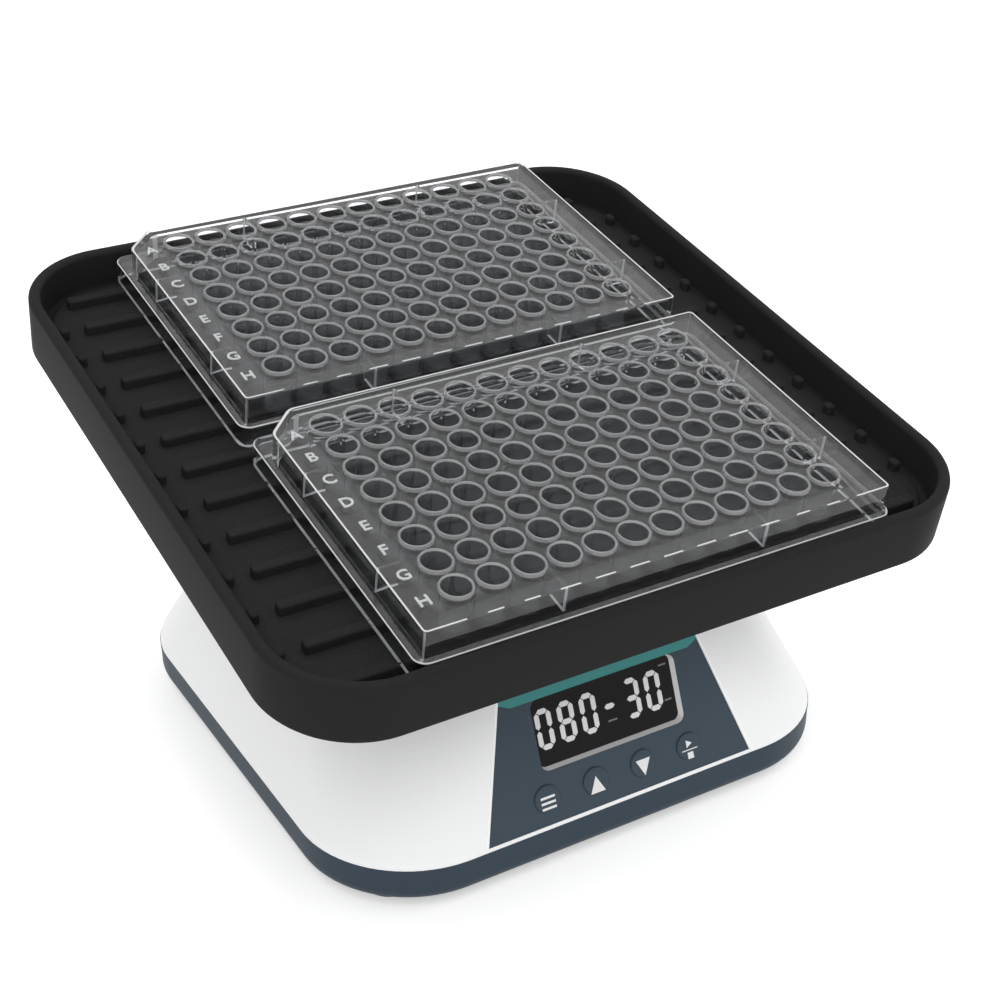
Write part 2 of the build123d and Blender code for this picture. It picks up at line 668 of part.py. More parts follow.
def chassis_plate():
    middle = (sum(PLATE_X) / 2, sum(PLATE_Y) / 2, 0)
    plate = slab(PLATE_X[1] - PLATE_X[0], PLATE_Y[1] - PLATE_Y[0], PLATE_R, PLATE_Z, PLATE_TOP_Z)
    plate = Pos(*middle) * plate
    holes = [(x, y, CHASSIS_SCREW_R) for x, y in standoff_places()]
    holes += [(x, y, CHASSIS_SCREW_R) for x, y in circle_places(HOUSING_BOLT_PCD, 4, 45)]
    holes += [(x, y, CHASSIS_SCREW_R) for x, y in motor_screw_places()]
    holes += [(0, 0, SPINDLE_R + WALL), (MOTOR_X, MOTOR_Y, MOTOR_SHAFT_R + WALL)]
    for x, y, radius in holes:
        plate -= rod(radius + FIT_GAP, PLATE_Z - HOLE_OVERRUN, PLATE_TOP_Z + HOLE_OVERRUN, x, y)
    return plate


def screw_down(x, y, seat_z, length):
    """Cap screw whose head stands on seat_z."""
    head = rod(CHASSIS_HEAD_R, seat_z, seat_z + CHASSIS_HEAD_H, x, y)
    shank = rod(CHASSIS_SCREW_R, seat_z - length, seat_z, x, y)
    return head + shank - hex_socket(seat_z + CHASSIS_HEAD_H, x, y)


def chassis_screws():
    return Compound([screw_down(x, y, PLATE_TOP_Z, CHASSIS_SCREW_LENGTH) for x, y in standoff_places()])


def bearing_housing():
    flange = rod(HOUSING_FLANGE_R, PLATE_TOP_Z, PLATE_TOP_Z + HOUSING_FLANGE_T)
    barrel = rod(BEARING_R + HOUSING_WALL, PLATE_TOP_Z, HOUSING_TOP_Z)
    housing = flange + barrel
    corner = level_edges(housing, PLATE_TOP_Z + HOUSING_FLANGE_T).sort_by(Edge.length)[0]
    housing = fillet(corner, HOUSING_FILLET_R)
    housing -= rod(BEARING_R - BEARING_SHOULDER, PLATE_TOP_Z - HOLE_OVERRUN, HOUSING_TOP_Z + HOLE_OVERRUN)
    for low, high in ((PLATE_TOP_Z - HOLE_OVERRUN, LOWER_BEARING_Z + BEARING_T),
                      (UPPER_BEARING_Z, HOUSING_TOP_Z + HOLE_OVERRUN)):
        housing -= rod(BEARING_R + FIT_GAP, low, high)
    for x, y in circle_places(HOUSING_BOLT_PCD, 4, 45):
        housing -= rod(CHASSIS_SCREW_R + FIT_GAP, PLATE_TOP_Z - HOLE_OVERRUN, HOUSING_TOP_Z, x, y)
    return housing


def housing_bolts():
    seat = PLATE_TOP_Z + HOUSING_FLANGE_T
    length = HOUSING_FLANGE_T + PLATE_T
    return Compound([screw_down(x, y, seat, length) for x, y in circle_places(HOUSING_BOLT_PCD, 4, 45)])


def ball_bearing(bore_r, low, thickness):
    """Shielded ball bearing as one ring, with the grooves between its races and shields."""
    high = low + thickness
    body = ring(BEARING_R, bore_r, low, high)
    groove = ring(BEARING_R - BEARING_RACE, bore_r + BEARING_RACE, -BEARING_GROOVE, BEARING_GROOVE)
    return body - Pos(0, 0, low) * groove - Pos(0, 0, high) * groove


def spindle_bearing(low):
    """One of the two bearings that carry the upright spindle."""
    return ball_bearing(SPINDLE_R + RUN_GAP, low, BEARING_T)


def hub_bearing(low):
    """One of the two bearings that carry the platform on the leaning pin."""
    return on_deck(ball_bearing(PIN_R + RUN_GAP, low, HUB_BEARING_T))


def motor_screw_places():
    """Two screws that hold the motor to the chassis plate."""
    return [(MOTOR_X + side * MOTOR_SCREW_PCD / 2, MOTOR_Y) for side in (-1, 1)]


def motor():
    top = PLATE_TOP_Z + MOTOR_H
    can = rod(MOTOR_R, PLATE_TOP_Z, top, MOTOR_X, MOTOR_Y)
    can = fillet(level_edges(can, top), MOTOR_EDGE_R)
    body = can + rod(MOTOR_CAP_R, top, top + MOTOR_CAP_T, MOTOR_X, MOTOR_Y)
    under = PLATE_TOP_Z - HOLE_OVERRUN
    shaft_room = PLATE_TOP_Z + MOTOR_SHAFT_GRIP + HOLE_OVERRUN
    body -= rod(MOTOR_SHAFT_R + RUN_GAP, under, shaft_room, MOTOR_X, MOTOR_Y)
    for x, y in motor_screw_places():
        body -= rod(CHASSIS_SCREW_R + FIT_GAP, under, PLATE_TOP_Z + MOTOR_SCREW_GRIP + HOLE_OVERRUN, x, y)
    return body


def motor_screws():
    screws = []
    for x, y in motor_screw_places():
        upright = screw_down(0, 0, 0, PLATE_T + MOTOR_SCREW_GRIP)
        screws.append(Location((x, y, PLATE_Z), (180, 0, 0)) * upright)
    return Compound(screws)


def pulley(radius, x, y):
    """Flat-belt pulley with a rim at each side."""
    wheel = rod(radius, PULLEY_Z0, PULLEY_Z1, x, y)
    for low in (PULLEY_Z0, PULLEY_Z1 - PULLEY_RIM_T):
        wheel += rod(radius + PULLEY_RIM, low, low + PULLEY_RIM_T, x, y)
    return wheel


def spindle_pulley():
    wheel = pulley(SPINDLE_PULLEY_R, 0, 0)
    hub_r = SPINDLE_R + PULLEY_HUB
    ring_r = SPINDLE_PULLEY_R - PULLEY_RING
    recess = (PULLEY_T - PULLEY_WEB_T) / 2
    for low, high in ((PULLEY_Z0 - HOLE_OVERRUN, PULLEY_Z0 + recess),
                      (PULLEY_Z1 - recess, PULLEY_Z1 + HOLE_OVERRUN)):
        wheel -= ring(ring_r, hub_r, low, high)
    for x, y in circle_places(ring_r + hub_r, HUB_WEBS):
        wheel -= rod(PULLEY_HOLE_R, PULLEY_Z0, PULLEY_Z1, x, y)
    return wheel - rod(SPINDLE_R + FIT_GAP, PULLEY_Z0 - HOLE_OVERRUN, PULLEY_Z1 + HOLE_OVERRUN)


def motor_pulley():
    """Small pulley and the motor's shaft, which turn together."""
    shaft = rod(MOTOR_SHAFT_R, PULLEY_Z0, PLATE_TOP_Z + MOTOR_SHAFT_GRIP, MOTOR_X, MOTOR_Y)
    return pulley(MOTOR_PULLEY_R, MOTOR_X, MOTOR_Y) + shaft


def belt_loop(grow, low, high):
    """Solid hull of the belt's run round both pulleys, at a distance from their faces."""
    span = (MOTOR_X ** 2 + MOTOR_Y ** 2) ** 0.5
    turn = degrees(atan(MOTOR_Y / MOTOR_X))
    big = SPINDLE_PULLEY_R + grow
    small = MOTOR_PULLEY_R + grow
    lean_cos = (big - small) / span
    lean_sin = (1 - lean_cos ** 2) ** 0.5
    upper = [(span + small * lean_cos, small * lean_sin), (big * lean_cos, big * lean_sin)]
    lower = [(x, -y) for x, y in reversed(upper)]
    between = extrude(Plane.XY.offset(low) * Polygon(*lower, *upper, align=None), amount=high - low)
    return Rot(0, 0, turn) * (rod(big, low, high) + rod(small, low, high, span) + between)


def drive_belt():
    low = PULLEY_Z0 + PULLEY_RIM_T + BELT_GAP
    high = PULLEY_Z1 - PULLEY_RIM_T - BELT_GAP
    inside = belt_loop(BELT_GAP, low - HOLE_OVERRUN, high + HOLE_OVERRUN)
    return belt_loop(BELT_GAP + BELT_T, low, high) - inside


def spindle_shaft():
    shaft = rod(SPINDLE_R, SPINDLE_Z0, HEAD_Z0 + HEAD_SOCKET)
    return chamfer(level_edges(shaft, SPINDLE_Z0), SPINDLE_EDGE)


def crank_head():
    head = rod(HEAD_R, HEAD_Z0, WOBBLE_Z)
    head -= on_deck(rod(4 * HEAD_R, HEAD_FACE, 2 * WOBBLE_Z))
    head -= rod(SPINDLE_R + FIT_GAP, HEAD_Z0 - HOLE_OVERRUN, HEAD_Z0 + HEAD_SOCKET)
    return head - on_deck(rod(PIN_R + FIT_GAP, PIN_LOW, WOBBLE_Z))


def counterweight():
    top = HEAD_Z0 + WEIGHT_T
    weight = ring(WEIGHT_R, HEAD_R + FIT_GAP, HEAD_Z0, top)
    return weight & block((-WEIGHT_R, WEIGHT_R), (0, WEIGHT_R), (HEAD_Z0, top))


# Hub


def tilt_pin():
    pin = rod(PIN_R, PIN_LOW, HUB_UPPER + FACE_GAP)
    return on_deck(chamfer(level_edges(pin, HUB_UPPER + FACE_GAP), PIN_EDGE))


def pin_spacers():
    upper = HUB_UPPER - HUB_BEARING_T - FACE_GAP
    lower = HUB_LOWER + HUB_BEARING_T + FACE_GAP
    between = ring(SPACER_R, PIN_R + FIT_GAP, lower, upper)
    below = ring(SPACER_R, PIN_R + FIT_GAP, HEAD_FACE, HUB_LOWER - FACE_GAP)
    return Compound([on_deck(between), on_deck(below)])


def pin_retainer():
    low = HUB_UPPER + FACE_GAP
    seat = low + WASHER_T
    top = seat + PIN_SCREW_H
    screw = rod(SPACER_R, low, seat) + rod(PIN_SCREW_R, seat, top)
    return on_deck(screw - hex_socket(top))


def carrier():
    flange_low = TRAY_LOW - FLANGE_T
    hub = rod(FLANGE_R, flange_low, TRAY_LOW) + rod(BEARING_R + HUB_WALL, HUB_LOW, flange_low)
    hub = fillet(level_edges(hub, flange_low).sort_by(Edge.length)[0], HUB_FILLET_R)
    reach = (BEARING_R + HUB_WALL / 2, BOOT_WAIST_R - BOOT_WALL - SLIDE_GAP)
    for index in range(HUB_WEBS):
        web = block(reach, (-HUB_WEB_T / 2, HUB_WEB_T / 2), (flange_low - HUB_WEB_H, flange_low))
        hub += Rot(0, 0, 360 / HUB_WEBS * index) * web
    hub -= rod(BEARING_R + FIT_GAP, HUB_LOW - HOLE_OVERRUN, HUB_UPPER)
    hub -= rod(HUB_EYE_R, HUB_LOW, TRAY_LOW + HOLE_OVERRUN)
    for x, y in circle_places(TRAY_SCREW_PCD, 4, 45):
        hub -= rod(TRAY_SCREW_R + FIT_GAP, flange_low - HUB_WEB_H, TRAY_LOW + HOLE_OVERRUN, x, y)
    return on_deck(hub)


def hub_circlip():
    high = HUB_LOWER - FACE_GAP
    clip = ring(BEARING_R, HUB_EYE_R, high - CLIP_T, high)
    half = CLIP_MOUTH / 2
    return on_deck(clip - block((0, 2 * BEARING_R), (-half, half), (high - 2 * CLIP_T, high + CLIP_T)))


def rubber_boot():
    """Corrugated boot: a cuff on the flange, then folds that run in and out."""
    top = TRAY_LOW - SLIDE_GAP
    fold_top = TRAY_LOW - FLANGE_T - BOOT_WALL
    outer = [(FLANGE_R + BOOT_WALL + FIT_GAP, top), (FLANGE_R + BOOT_WALL + FIT_GAP, fold_top)]
    inner = [(FLANGE_R + FIT_GAP, top), (FLANGE_R + FIT_GAP, TRAY_LOW - FLANGE_T)]
    inner.append((BOOT_WAIST_R - BOOT_WALL, TRAY_LOW - FLANGE_T))
    for fold in range(BOOT_FOLDS):
        level = fold_top - BOOT_FOLD_PITCH * fold
        for radius, share in ((BOOT_WAIST_R, 0.3), (BOOT_R, 0.7), (BOOT_R, 0.9)):
            outer.append((radius, level - BOOT_FOLD_PITCH * share))
        for radius, share in ((BOOT_WAIST_R, 0.4), (BOOT_R, 0.75), (BOOT_R, 0.85)):
            inner.append((radius - BOOT_WALL, level - BOOT_FOLD_PITCH * share))
    profile = Polygon(*outer, *reversed(inner), align=None)
    return on_deck(revolve(Plane.XZ * profile, Axis.Z))


def boot_clamp():
    inner = FLANGE_R + BOOT_WALL + 2 * FIT_GAP
    high = TRAY_LOW - CLAMP_DROP
    low = high - CLAMP_H
    band = ring(inner + CLAMP_T, inner, low, high)
    reach = (inner + CLAMP_T / 2, inner + CLAMP_T + CLAMP_LUG)
    return on_deck(band + block(reach, (-CLAMP_LUG, CLAMP_LUG), (low, high)))


# Tray and what lies on it


def tray():
    """Square dish whose wall reaches a little below its floor."""
    foot = TRAY_LOW - TRAY_SKIRT
    outer = slab(TRAY_W, TRAY_W, TRAY_R, foot, TRAY_TOP)
    outer = fillet(level_edges(outer, foot), TRAY_FOOT_R)
    floor = TRAY_FLOOR_TOP
    well = slab(TRAY_INNER_W, TRAY_INNER_W, TRAY_R - TRAY_WALL, floor, TRAY_TOP + HOLE_OVERRUN)
    dish = outer - fillet(level_edges(well, floor), TRAY_INNER_R)
    dish = fillet(level_edges(dish, TRAY_TOP), TRAY_LIP_R)
    dish -= slab(TRAY_INNER_W, TRAY_INNER_W, TRAY_R - TRAY_WALL, foot - HOLE_OVERRUN, TRAY_LOW)
    for x, y in circle_places(TRAY_SCREW_PCD, 4, 45):
        dish -= rod(TRAY_SCREW_R + FIT_GAP, TRAY_LOW - HOLE_OVERRUN, floor, x, y)
        dish -= rod(TRAY_HEAD_R + FIT_GAP, floor - TRAY_HEAD_T, floor + HOLE_OVERRUN, x, y)
    return on_deck(dish)


def tray_screws():
    floor = TRAY_FLOOR_TOP
    screws = []
    for x, y in circle_places(TRAY_SCREW_PCD, 4, 45):
        head = rod(TRAY_HEAD_R, floor - TRAY_HEAD_T, floor, x, y)
        shank = rod(TRAY_SCREW_R, TRAY_LOW - FLANGE_T, floor - TRAY_HEAD_T, x, y)
        screws.append(on_deck(head + shank - hex_socket(floor, x, y)))
    return Compound(screws)


def ribbed_mat():
    """Mat with ribs; past a gap, each rib goes on as a short stub to the mat's edge."""
    corner = TRAY_R - TRAY_WALL - MAT_MARGIN
    mat = slab(MAT_W, MAT_W, corner, TRAY_FLOOR_TOP, MAT_TOP)
    length = TRAY_INNER_W - 2 * RIB_MARGIN
    ribs, bars = [], []
    for index in range(RIB_COUNT):
        y = RIB_PITCH * (index - (RIB_COUNT - 1) / 2)
        ribs.append(Pos(0, y, 0) * slab(length, RIB_W, RIB_END_R, MAT_TOP, RIB_TOP))
        bars.append(block((-MAT_W / 2, MAT_W / 2), (y - RIB_W / 2, y + RIB_W / 2), (MAT_TOP, RIB_TOP)))
    reach = length / 2 + STUB_GAP
    between = block((-reach, reach), (-MAT_W / 2, MAT_W / 2), (MAT_TOP, RIB_TOP))
    stubs = (fused(bars) & slab(MAT_W, MAT_W, corner, MAT_TOP, RIB_TOP)) - between
    return on_deck(fused([mat] + ribs + [stubs]))


def well_places():
    """Centres of the 96 wells, from the plate's centre."""
    xs = [WELL_PITCH * (column - (WELL_COLUMNS - 1) / 2) for column in range(WELL_COLUMNS)]
    ys = [WELL_PITCH * (row - (WELL_ROWS - 1) / 2) for row in range(WELL_ROWS)]
    return [(x, y) for y in ys for x in xs]


def cut_corner_slab(length, width, radius, low, high):
    """Rounded block whose corner beside well A1, rear left, is cut off."""
    whole = slab(length, width, radius, low, high)
    middle = (-length / 2, width / 2, (low + high) / 2)
    size = CORNER_CUT * 2 ** 0.5
    cutter = Location(middle, (0, 0, 45)) * Box(size, size, high - low + 2 * HOLE_OVERRUN)
    return whole - cutter


def plate_webs(length, width):
    """Upright webs inside a plate's walls, square to them: two on each side."""
    across, along = WEB_COLUMN * WELL_PITCH, WEB_ROW * WELL_PITCH
    heights = (SKIRT_H, PLATE_HOLLOW_TOP + DECK_T / 2)
    webs = []
    for side in (-1, 1):
        x_span = sorted(side * (length / 2 - MICROPLATE_WALL * share - reach)
                        for share, reach in ((0.5, 0.0), (1.0, WEB_REACH)))
        y_span = sorted(side * (width / 2 - MICROPLATE_WALL * share - reach)
                        for share, reach in ((0.5, 0.0), (1.0, WEB_REACH)))
        for half in (-1, 1):
            webs.append(block(x_span, (half * along - WEB_T / 2, half * along + WEB_T / 2), heights))
            webs.append(block((half * across - WEB_T / 2, half * across + WEB_T / 2), y_span, heights))
    return webs


def microplate():
    """Standard 96-well plate on its own footprint, z = 0 at its underside."""
    length, width = MICROPLATE_L - 2 * LEDGE_W, MICROPLATE_W - 2 * LEDGE_W
    plate = slab(MICROPLATE_L, MICROPLATE_W, MICROPLATE_R, 0, SKIRT_H)
    plate += cut_corner_slab(length, width, MICROPLATE_R, SKIRT_H, PLATE_DECK_TOP)
    thick = 2 * MICROPLATE_WALL
    plate -= slab(MICROPLATE_L - thick, MICROPLATE_W - thick, MICROPLATE_R - MICROPLATE_WALL,
                  -HOLE_OVERRUN, SKIRT_H - MICROPLATE_WALL)
    plate -= cut_corner_slab(length - thick, width - thick, MICROPLATE_R - MICROPLATE_WALL,
                             -HOLE_OVERRUN, PLATE_HOLLOW_TOP)
    plate = fused([plate] + plate_webs(length, width))
    cup_low = MICROPLATE_H - WELL_DEPTH - MICROPLATE_WALL
    well_low = MICROPLATE_H - WELL_DEPTH
    places = Locations(*well_places())
    cups = Sketch() + [place * Circle(WELL_R + WELL_WALL) for place in places]
    bores = Sketch() + [place * Circle(WELL_R) for place in places]
    plate += extrude(Plane.XY.offset(cup_low) * cups, amount=MICROPLATE_H - cup_low)
    return plate - extrude(Plane.XY.offset(well_low) * bores, amount=WELL_DEPTH + HOLE_OVERRUN)


def main():
    os.makedirs("parts", exist_ok=True)
    plate = microplate()
    front = DECK * Pos(0, PLATE_FRONT_Y, RIB_TOP)
    back = DECK * Pos(0, PLATE_FRONT_Y + PLATE_STEP_Y, RIB_TOP)
    nodes = {
        "bottom_pan": bottom_pan(),
        "top_shell": top_shell(),
        "rubber_feet": rubber_feet(),
        "housing_screws": housing_screws(),
        "control_panel": control_panel(),
        "accent_stripe": accent_stripe(),
        "lcd_bezel": lcd_bezel(),
        "lcd_window": lcd_window(),
        "lcd_module": lcd_module(),
        "control_board": control_board(),
        "key_switches": key_switches(),
        "rear_plate": rear_plate(),
        "power_inlet": power_inlet(),
        "switch_body": switch_body(),
        "switch_rocker": switch_rocker(),
        "power_board": power_board(),
        "chassis_standoffs": chassis_standoffs(),
        "chassis_plate": chassis_plate(),
        "chassis_screws": chassis_screws(),
        "bearing_housing": bearing_housing(),
        "housing_bolts": housing_bolts(),
        "lower_bearing": spindle_bearing(LOWER_BEARING_Z),
        "upper_bearing": spindle_bearing(UPPER_BEARING_Z),
        "motor": motor(),
        "motor_screws": motor_screws(),
        "motor_pulley": motor_pulley(),
        "drive_belt": drive_belt(),
        "spindle_pulley": spindle_pulley(),
        "spindle_shaft": spindle_shaft(),
        "crank_head": crank_head(),
        "counterweight": counterweight(),
        "tilt_pin": tilt_pin(),
        "pin_spacers": pin_spacers(),
        "pin_retainer": pin_retainer(),
        "carrier": carrier(),
        "lower_hub_bearing": hub_bearing(HUB_LOWER),
        "upper_hub_bearing": hub_bearing(HUB_UPPER - HUB_BEARING_T),
        "hub_circlip": hub_circlip(),
        "rubber_boot": rubber_boot(),
        "boot_clamp": boot_clamp(),
        "tray": tray(),
        "tray_screws": tray_screws(),
        "ribbed_mat": ribbed_mat(),
        "plate_front": front * plate,
        "plate_back": back * plate,
    }
    for name, (x, y) in zip(KEY_NAMES, key_places()):
        nodes[name] = key_cap(x, y)
    for name, shape in nodes.items():
        export_step(shape, f"parts/{name}.step")
        print(name, round(shape.volume, 1))


main()
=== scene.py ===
import json
from math import cos, pi, radians, sin, tan
import bmesh
import bpy
import numpy as np
from mathutils import Matrix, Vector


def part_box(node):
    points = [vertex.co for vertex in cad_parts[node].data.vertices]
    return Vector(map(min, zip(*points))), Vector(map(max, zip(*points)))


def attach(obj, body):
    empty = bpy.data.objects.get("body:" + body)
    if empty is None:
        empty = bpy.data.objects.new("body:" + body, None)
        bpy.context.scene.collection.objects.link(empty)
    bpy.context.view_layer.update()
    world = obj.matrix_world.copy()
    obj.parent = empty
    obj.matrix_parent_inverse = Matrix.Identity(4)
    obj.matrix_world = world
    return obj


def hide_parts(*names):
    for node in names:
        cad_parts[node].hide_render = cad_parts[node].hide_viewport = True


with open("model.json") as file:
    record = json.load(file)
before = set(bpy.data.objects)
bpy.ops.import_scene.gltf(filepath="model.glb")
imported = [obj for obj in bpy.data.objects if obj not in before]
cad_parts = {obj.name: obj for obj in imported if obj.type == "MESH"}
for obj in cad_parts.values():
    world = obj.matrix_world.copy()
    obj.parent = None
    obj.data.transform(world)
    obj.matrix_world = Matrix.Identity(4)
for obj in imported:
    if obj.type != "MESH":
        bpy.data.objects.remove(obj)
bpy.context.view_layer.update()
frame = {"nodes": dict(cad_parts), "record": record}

# A compact three-dimensional shaker: a black tray that leans as it rocks, two open 96-well
# plates on its ribbed mat, and a white housing with a sloping control panel.
# Metres. Origin on the bench under the spindle, +Z up, -Y is the control panel's side.

MM = 0.001

# Places and sizes shared by several pieces
TILT = radians(11.0)             # the platform's lean, down towards the panel
WOBBLE_Z = 88 * MM               # height of the point that the platform rocks about
BREAK_Z = 13.6 * MM              # where the housing's sides start to lean in
SIDE_SLOPE = 0.40
FILM_LIFT = 0.02 * MM            # print stands this far above the surface it is on
PAN_HALF = tuple(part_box("bottom_pan")[1])[:2]

TRAY_TOP_Z = 13 * MM             # heights in the deck frame
TRAY_LOW_Z = -1 * MM
TRAY_FOOT_Z = -2.8 * MM
TRAY_FLOOR_Z = 2 * MM
MAT_TOP_Z = 3.8 * MM
RIB_TOP_Z = 6.35 * MM
TRAY_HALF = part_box("tray")[1].x
TRAY_CORNER = 24 * MM
TRAY_WALL = 3.2 * MM
MAT_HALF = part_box("ribbed_mat")[1].x

NODES = frame["nodes"]


# Frames of reference

def deck_point(points):
    """Deck frame to row frame: turned by the tilt about X, then raised to the rocking point."""
    x, y, z = np.moveaxis(np.asarray(points, float), -1, 0)
    return np.stack([x, y * cos(TILT) - z * sin(TILT), WOBBLE_Z + y * sin(TILT) + z * cos(TILT)], -1)


def front_point(points):
    """Panel frame to row frame: x across, y up the slope, z outwards from the sloping front."""
    x, y, z = np.moveaxis(np.asarray(points, float), -1, 0)
    length = (1 + SIDE_SLOPE ** 2) ** 0.5
    out = np.array([0, -1, SIDE_SLOPE]) / length
    up = np.array([0, SIDE_SLOPE, 1]) / length
    origin = np.array([0, -PAN_HALF[1], BREAK_Z])
    return origin + x[..., None] * [1, 0, 0] + y[..., None] * up + z[..., None] * out


# Mesh makers

WELD = 0.0005 * MM


def grid_quads(rows, columns, wrap_rows=False, wrap_columns=False, first=0):
    """Quads between neighbours of a grid whose point (r, c) has the index first + r * columns + c."""
    r = np.arange(rows if wrap_rows else rows - 1)
    c = np.arange(columns if wrap_columns else columns - 1)
    r, c = np.meshgrid(r, c, indexing="ij")
    r_next = (r + 1) % rows
    c_next = (c + 1) % columns
    corners = [r * columns + c, r * columns + c_next, r_next * columns + c_next, r_next * columns + c]
    return np.stack(corners, -1).reshape(-1, 4) + first


def new_piece(name, points, faces, sharp=35.0, finishes=None):
    """Mesh object at the origin, its doubles merged, smooth but for edges that turn by more than sharp
    degrees. finishes gives each face the number of its material."""
    mesh = bpy.data.meshes.new(name)
    points = np.asarray(points, float).reshape(-1, 3)
    mesh.from_pydata(points.tolist(), [], [list(map(int, face)) for face in faces])
    if finishes is not None:
        mesh.polygons.foreach_set("material_index", np.asarray(finishes, np.int32))
    mesh.validate()
    work = bmesh.new()
    work.from_mesh(mesh)
    bmesh.ops.remove_doubles(work, verts=work.verts, dist=WELD)
    work.to_mesh(mesh)
    work.free()
    mesh.shade_smooth()
    mesh.set_sharp_from_angle(angle=radians(sharp))
    piece = bpy.data.objects.new(name, mesh)
    bpy.context.scene.collection.objects.link(piece)
    return piece


def rounded_profile(points, radii, steps=6):
    """Polyline with rounded corners: an arc of radius r touches both sides at r * tan(turn / 2) from the
    corner."""
    points = np.asarray(points, float)
    out = [points[0]]
    for before, corner, after, radius in zip(points[:-2], points[1:-1], points[2:], radii):
        u = (before - corner) / np.linalg.norm(before - corner)
        v = (after - corner) / np.linalg.norm(after - corner)
        half = 0.5 * np.arccos(np.clip(u @ v, -1, 1))
        if radius <= 0 or half > pi / 2 - 1e-4:
            out.append(corner)
            continue
        bisector = (u + v) / np.linalg.norm(u + v)
        centre = corner + bisector * radius / sin(half)
        start = corner + u * radius / tan(half) - centre
        end = corner + v * radius / tan(half) - centre
        turn = pi - 2 * half
        side = np.sign(start[0] * end[1] - start[1] * end[0])
        angles = side * turn * np.linspace(0, 1, steps + 1)
        cosines, sines = np.cos(angles), np.sin(angles)
        arc = np.stack([start[0] * cosines - start[1] * sines, start[0] * sines + start[1] * cosines], -1)
        out.extend(centre + arc)
    out.append(points[-1])
    return np.array(out)


def square_loops(half_x, half_y, radius, insets, steps=12, least=0.05 * MM):
    """Rounded rectangles, one for each inset: the corner radius shrinks with the inset, its centre stays."""
    insets = np.asarray(insets, float)[:, None]
    radii = np.maximum(radius - insets, least)
    quarter = np.linspace(0, pi / 2, steps + 1)
    angles = np.concatenate([quarter + pi / 2 * k for k in range(4)])
    sign_x = np.repeat([1, -1, -1, 1], steps + 1)
    sign_y = np.repeat([1, 1, -1, -1], steps + 1)
    x = sign_x * (half_x - insets - radii) + radii * np.cos(angles)
    y = sign_y * (half_y - insets - radii) + radii * np.sin(angles)
    return np.stack([x, y], -1)


def square_sweep(half_x, half_y, radius, profile, steps=12, closed=False, caps=(True, True)):
    """A profile of (inset, height) carried round a rounded rectangle; caps close the first and last rings.
    A profile that runs up the outside, in over the top and down the inside faces outwards."""
    profile = np.asarray(profile, float)
    loops = square_loops(half_x, half_y, radius, profile[:, 0], steps)
    rows, columns = loops.shape[:2]
    heights = np.broadcast_to(profile[:, 1][:, None, None], (rows, columns, 1))
    faces = grid_quads(rows, columns, wrap_rows=closed, wrap_columns=True).tolist()
    if caps[0]:
        faces.append(list(range(columns))[::-1])
    if caps[1]:
        faces.append([(rows - 1) * columns + c for c in range(columns)])
    return np.concatenate([loops, heights], -1).reshape(-1, 3), faces


def turned(profile, centre=(0, 0), steps=48, closed=False, caps=(True, True)):
    """A profile of (radius, height) turned about an upright axis through centre."""
    profile = np.asarray(profile, float)
    angles = np.linspace(0, 2 * pi, steps, endpoint=False)
    x = centre[0] + profile[:, 0][:, None] * np.cos(angles)
    y = centre[1] + profile[:, 0][:, None] * np.sin(angles)
    z = np.broadcast_to(profile[:, 1][:, None], x.shape)
    faces = grid_quads(len(profile), steps, wrap_rows=closed, wrap_columns=True).tolist()
    if caps[0]:
        faces.append(list(range(steps))[::-1])
    if caps[1]:
        faces.append([(len(profile) - 1) * steps + c for c in range(steps)])
    return np.stack([x, y, z], -1).reshape(-1, 3), faces


def bar_outline(x, y, width, depth):
    """Rectangle about a centre."""
    corners = np.array([(-1, -1), (1, -1), (1, 1), (-1, 1)])
    return corners * [width / 2, depth / 2] + [x, y]


def prism(outline, low, high):
    """Points and faces of an upright block over a closed outline, listed anticlockwise."""
    outline = np.asarray(outline, float)
    count = len(outline)
    bottom = np.column_stack([outline, np.full(count, low)])
    top = np.column_stack([outline, np.full(count, high)])
    sides = [[k, (k + 1) % count, count + (k + 1) % count, count + k] for k in range(count)]
    return np.concatenate([bottom, top]), sides + [list(range(count))[::-1], list(range(count, 2 * count))]


def merged(parts):
    """Joins (points, faces) pairs into one."""
    points, faces, first = [], [], 0
    for part_points, part_faces in parts:
        part_points = np.asarray(part_points, float).reshape(-1, 3)
        points.append(part_points)
        faces += [[int(i) + first for i in face] for face in part_faces]
        first += len(part_points)
    return np.concatenate(points), faces


def stands_for(piece, body, slot, materials, *nodes):
    """Puts a finished piece on its body, in its material or materials, in place of CAD nodes; slot is not
    used.
    """
    if isinstance(materials, bpy.types.Material):
        materials = [materials]
    for material in materials:
        piece.data.materials.append(material)
    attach(piece, body)
    if nodes:
        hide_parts(*nodes)


# Shader groups

def node_group(name, inputs, outputs):
    """Empty shader node group with its sockets; returns it with its input and output nodes."""
    group = bpy.data.node_groups.new(name, "ShaderNodeTree")
    for socket, kind, value in inputs:
        made = group.interface.new_socket(socket, in_out="INPUT", socket_type=kind)
        if value is not None:
            made.default_value = value
    for socket, kind in outputs:
        group.interface.new_socket(socket, in_out="OUTPUT", socket_type=kind)
    return group, group.nodes.new("NodeGroupInput"), group.nodes.new("NodeGroupOutput")


def math_node(tree, operation, a, b=None, clamp=False):
    """Math node whose inputs are sockets or numbers; returns its output."""
    node = tree.nodes.new("ShaderNodeMath")
    node.operation = operation
    node.use_clamp = clamp
    for socket, value in zip(node.inputs, (a, b)):
        if value is None:
            continue
        if isinstance(value, (int, float)):
            socket.default_value = value
        else:
            tree.links.new(value, socket)
    return node.outputs[0]


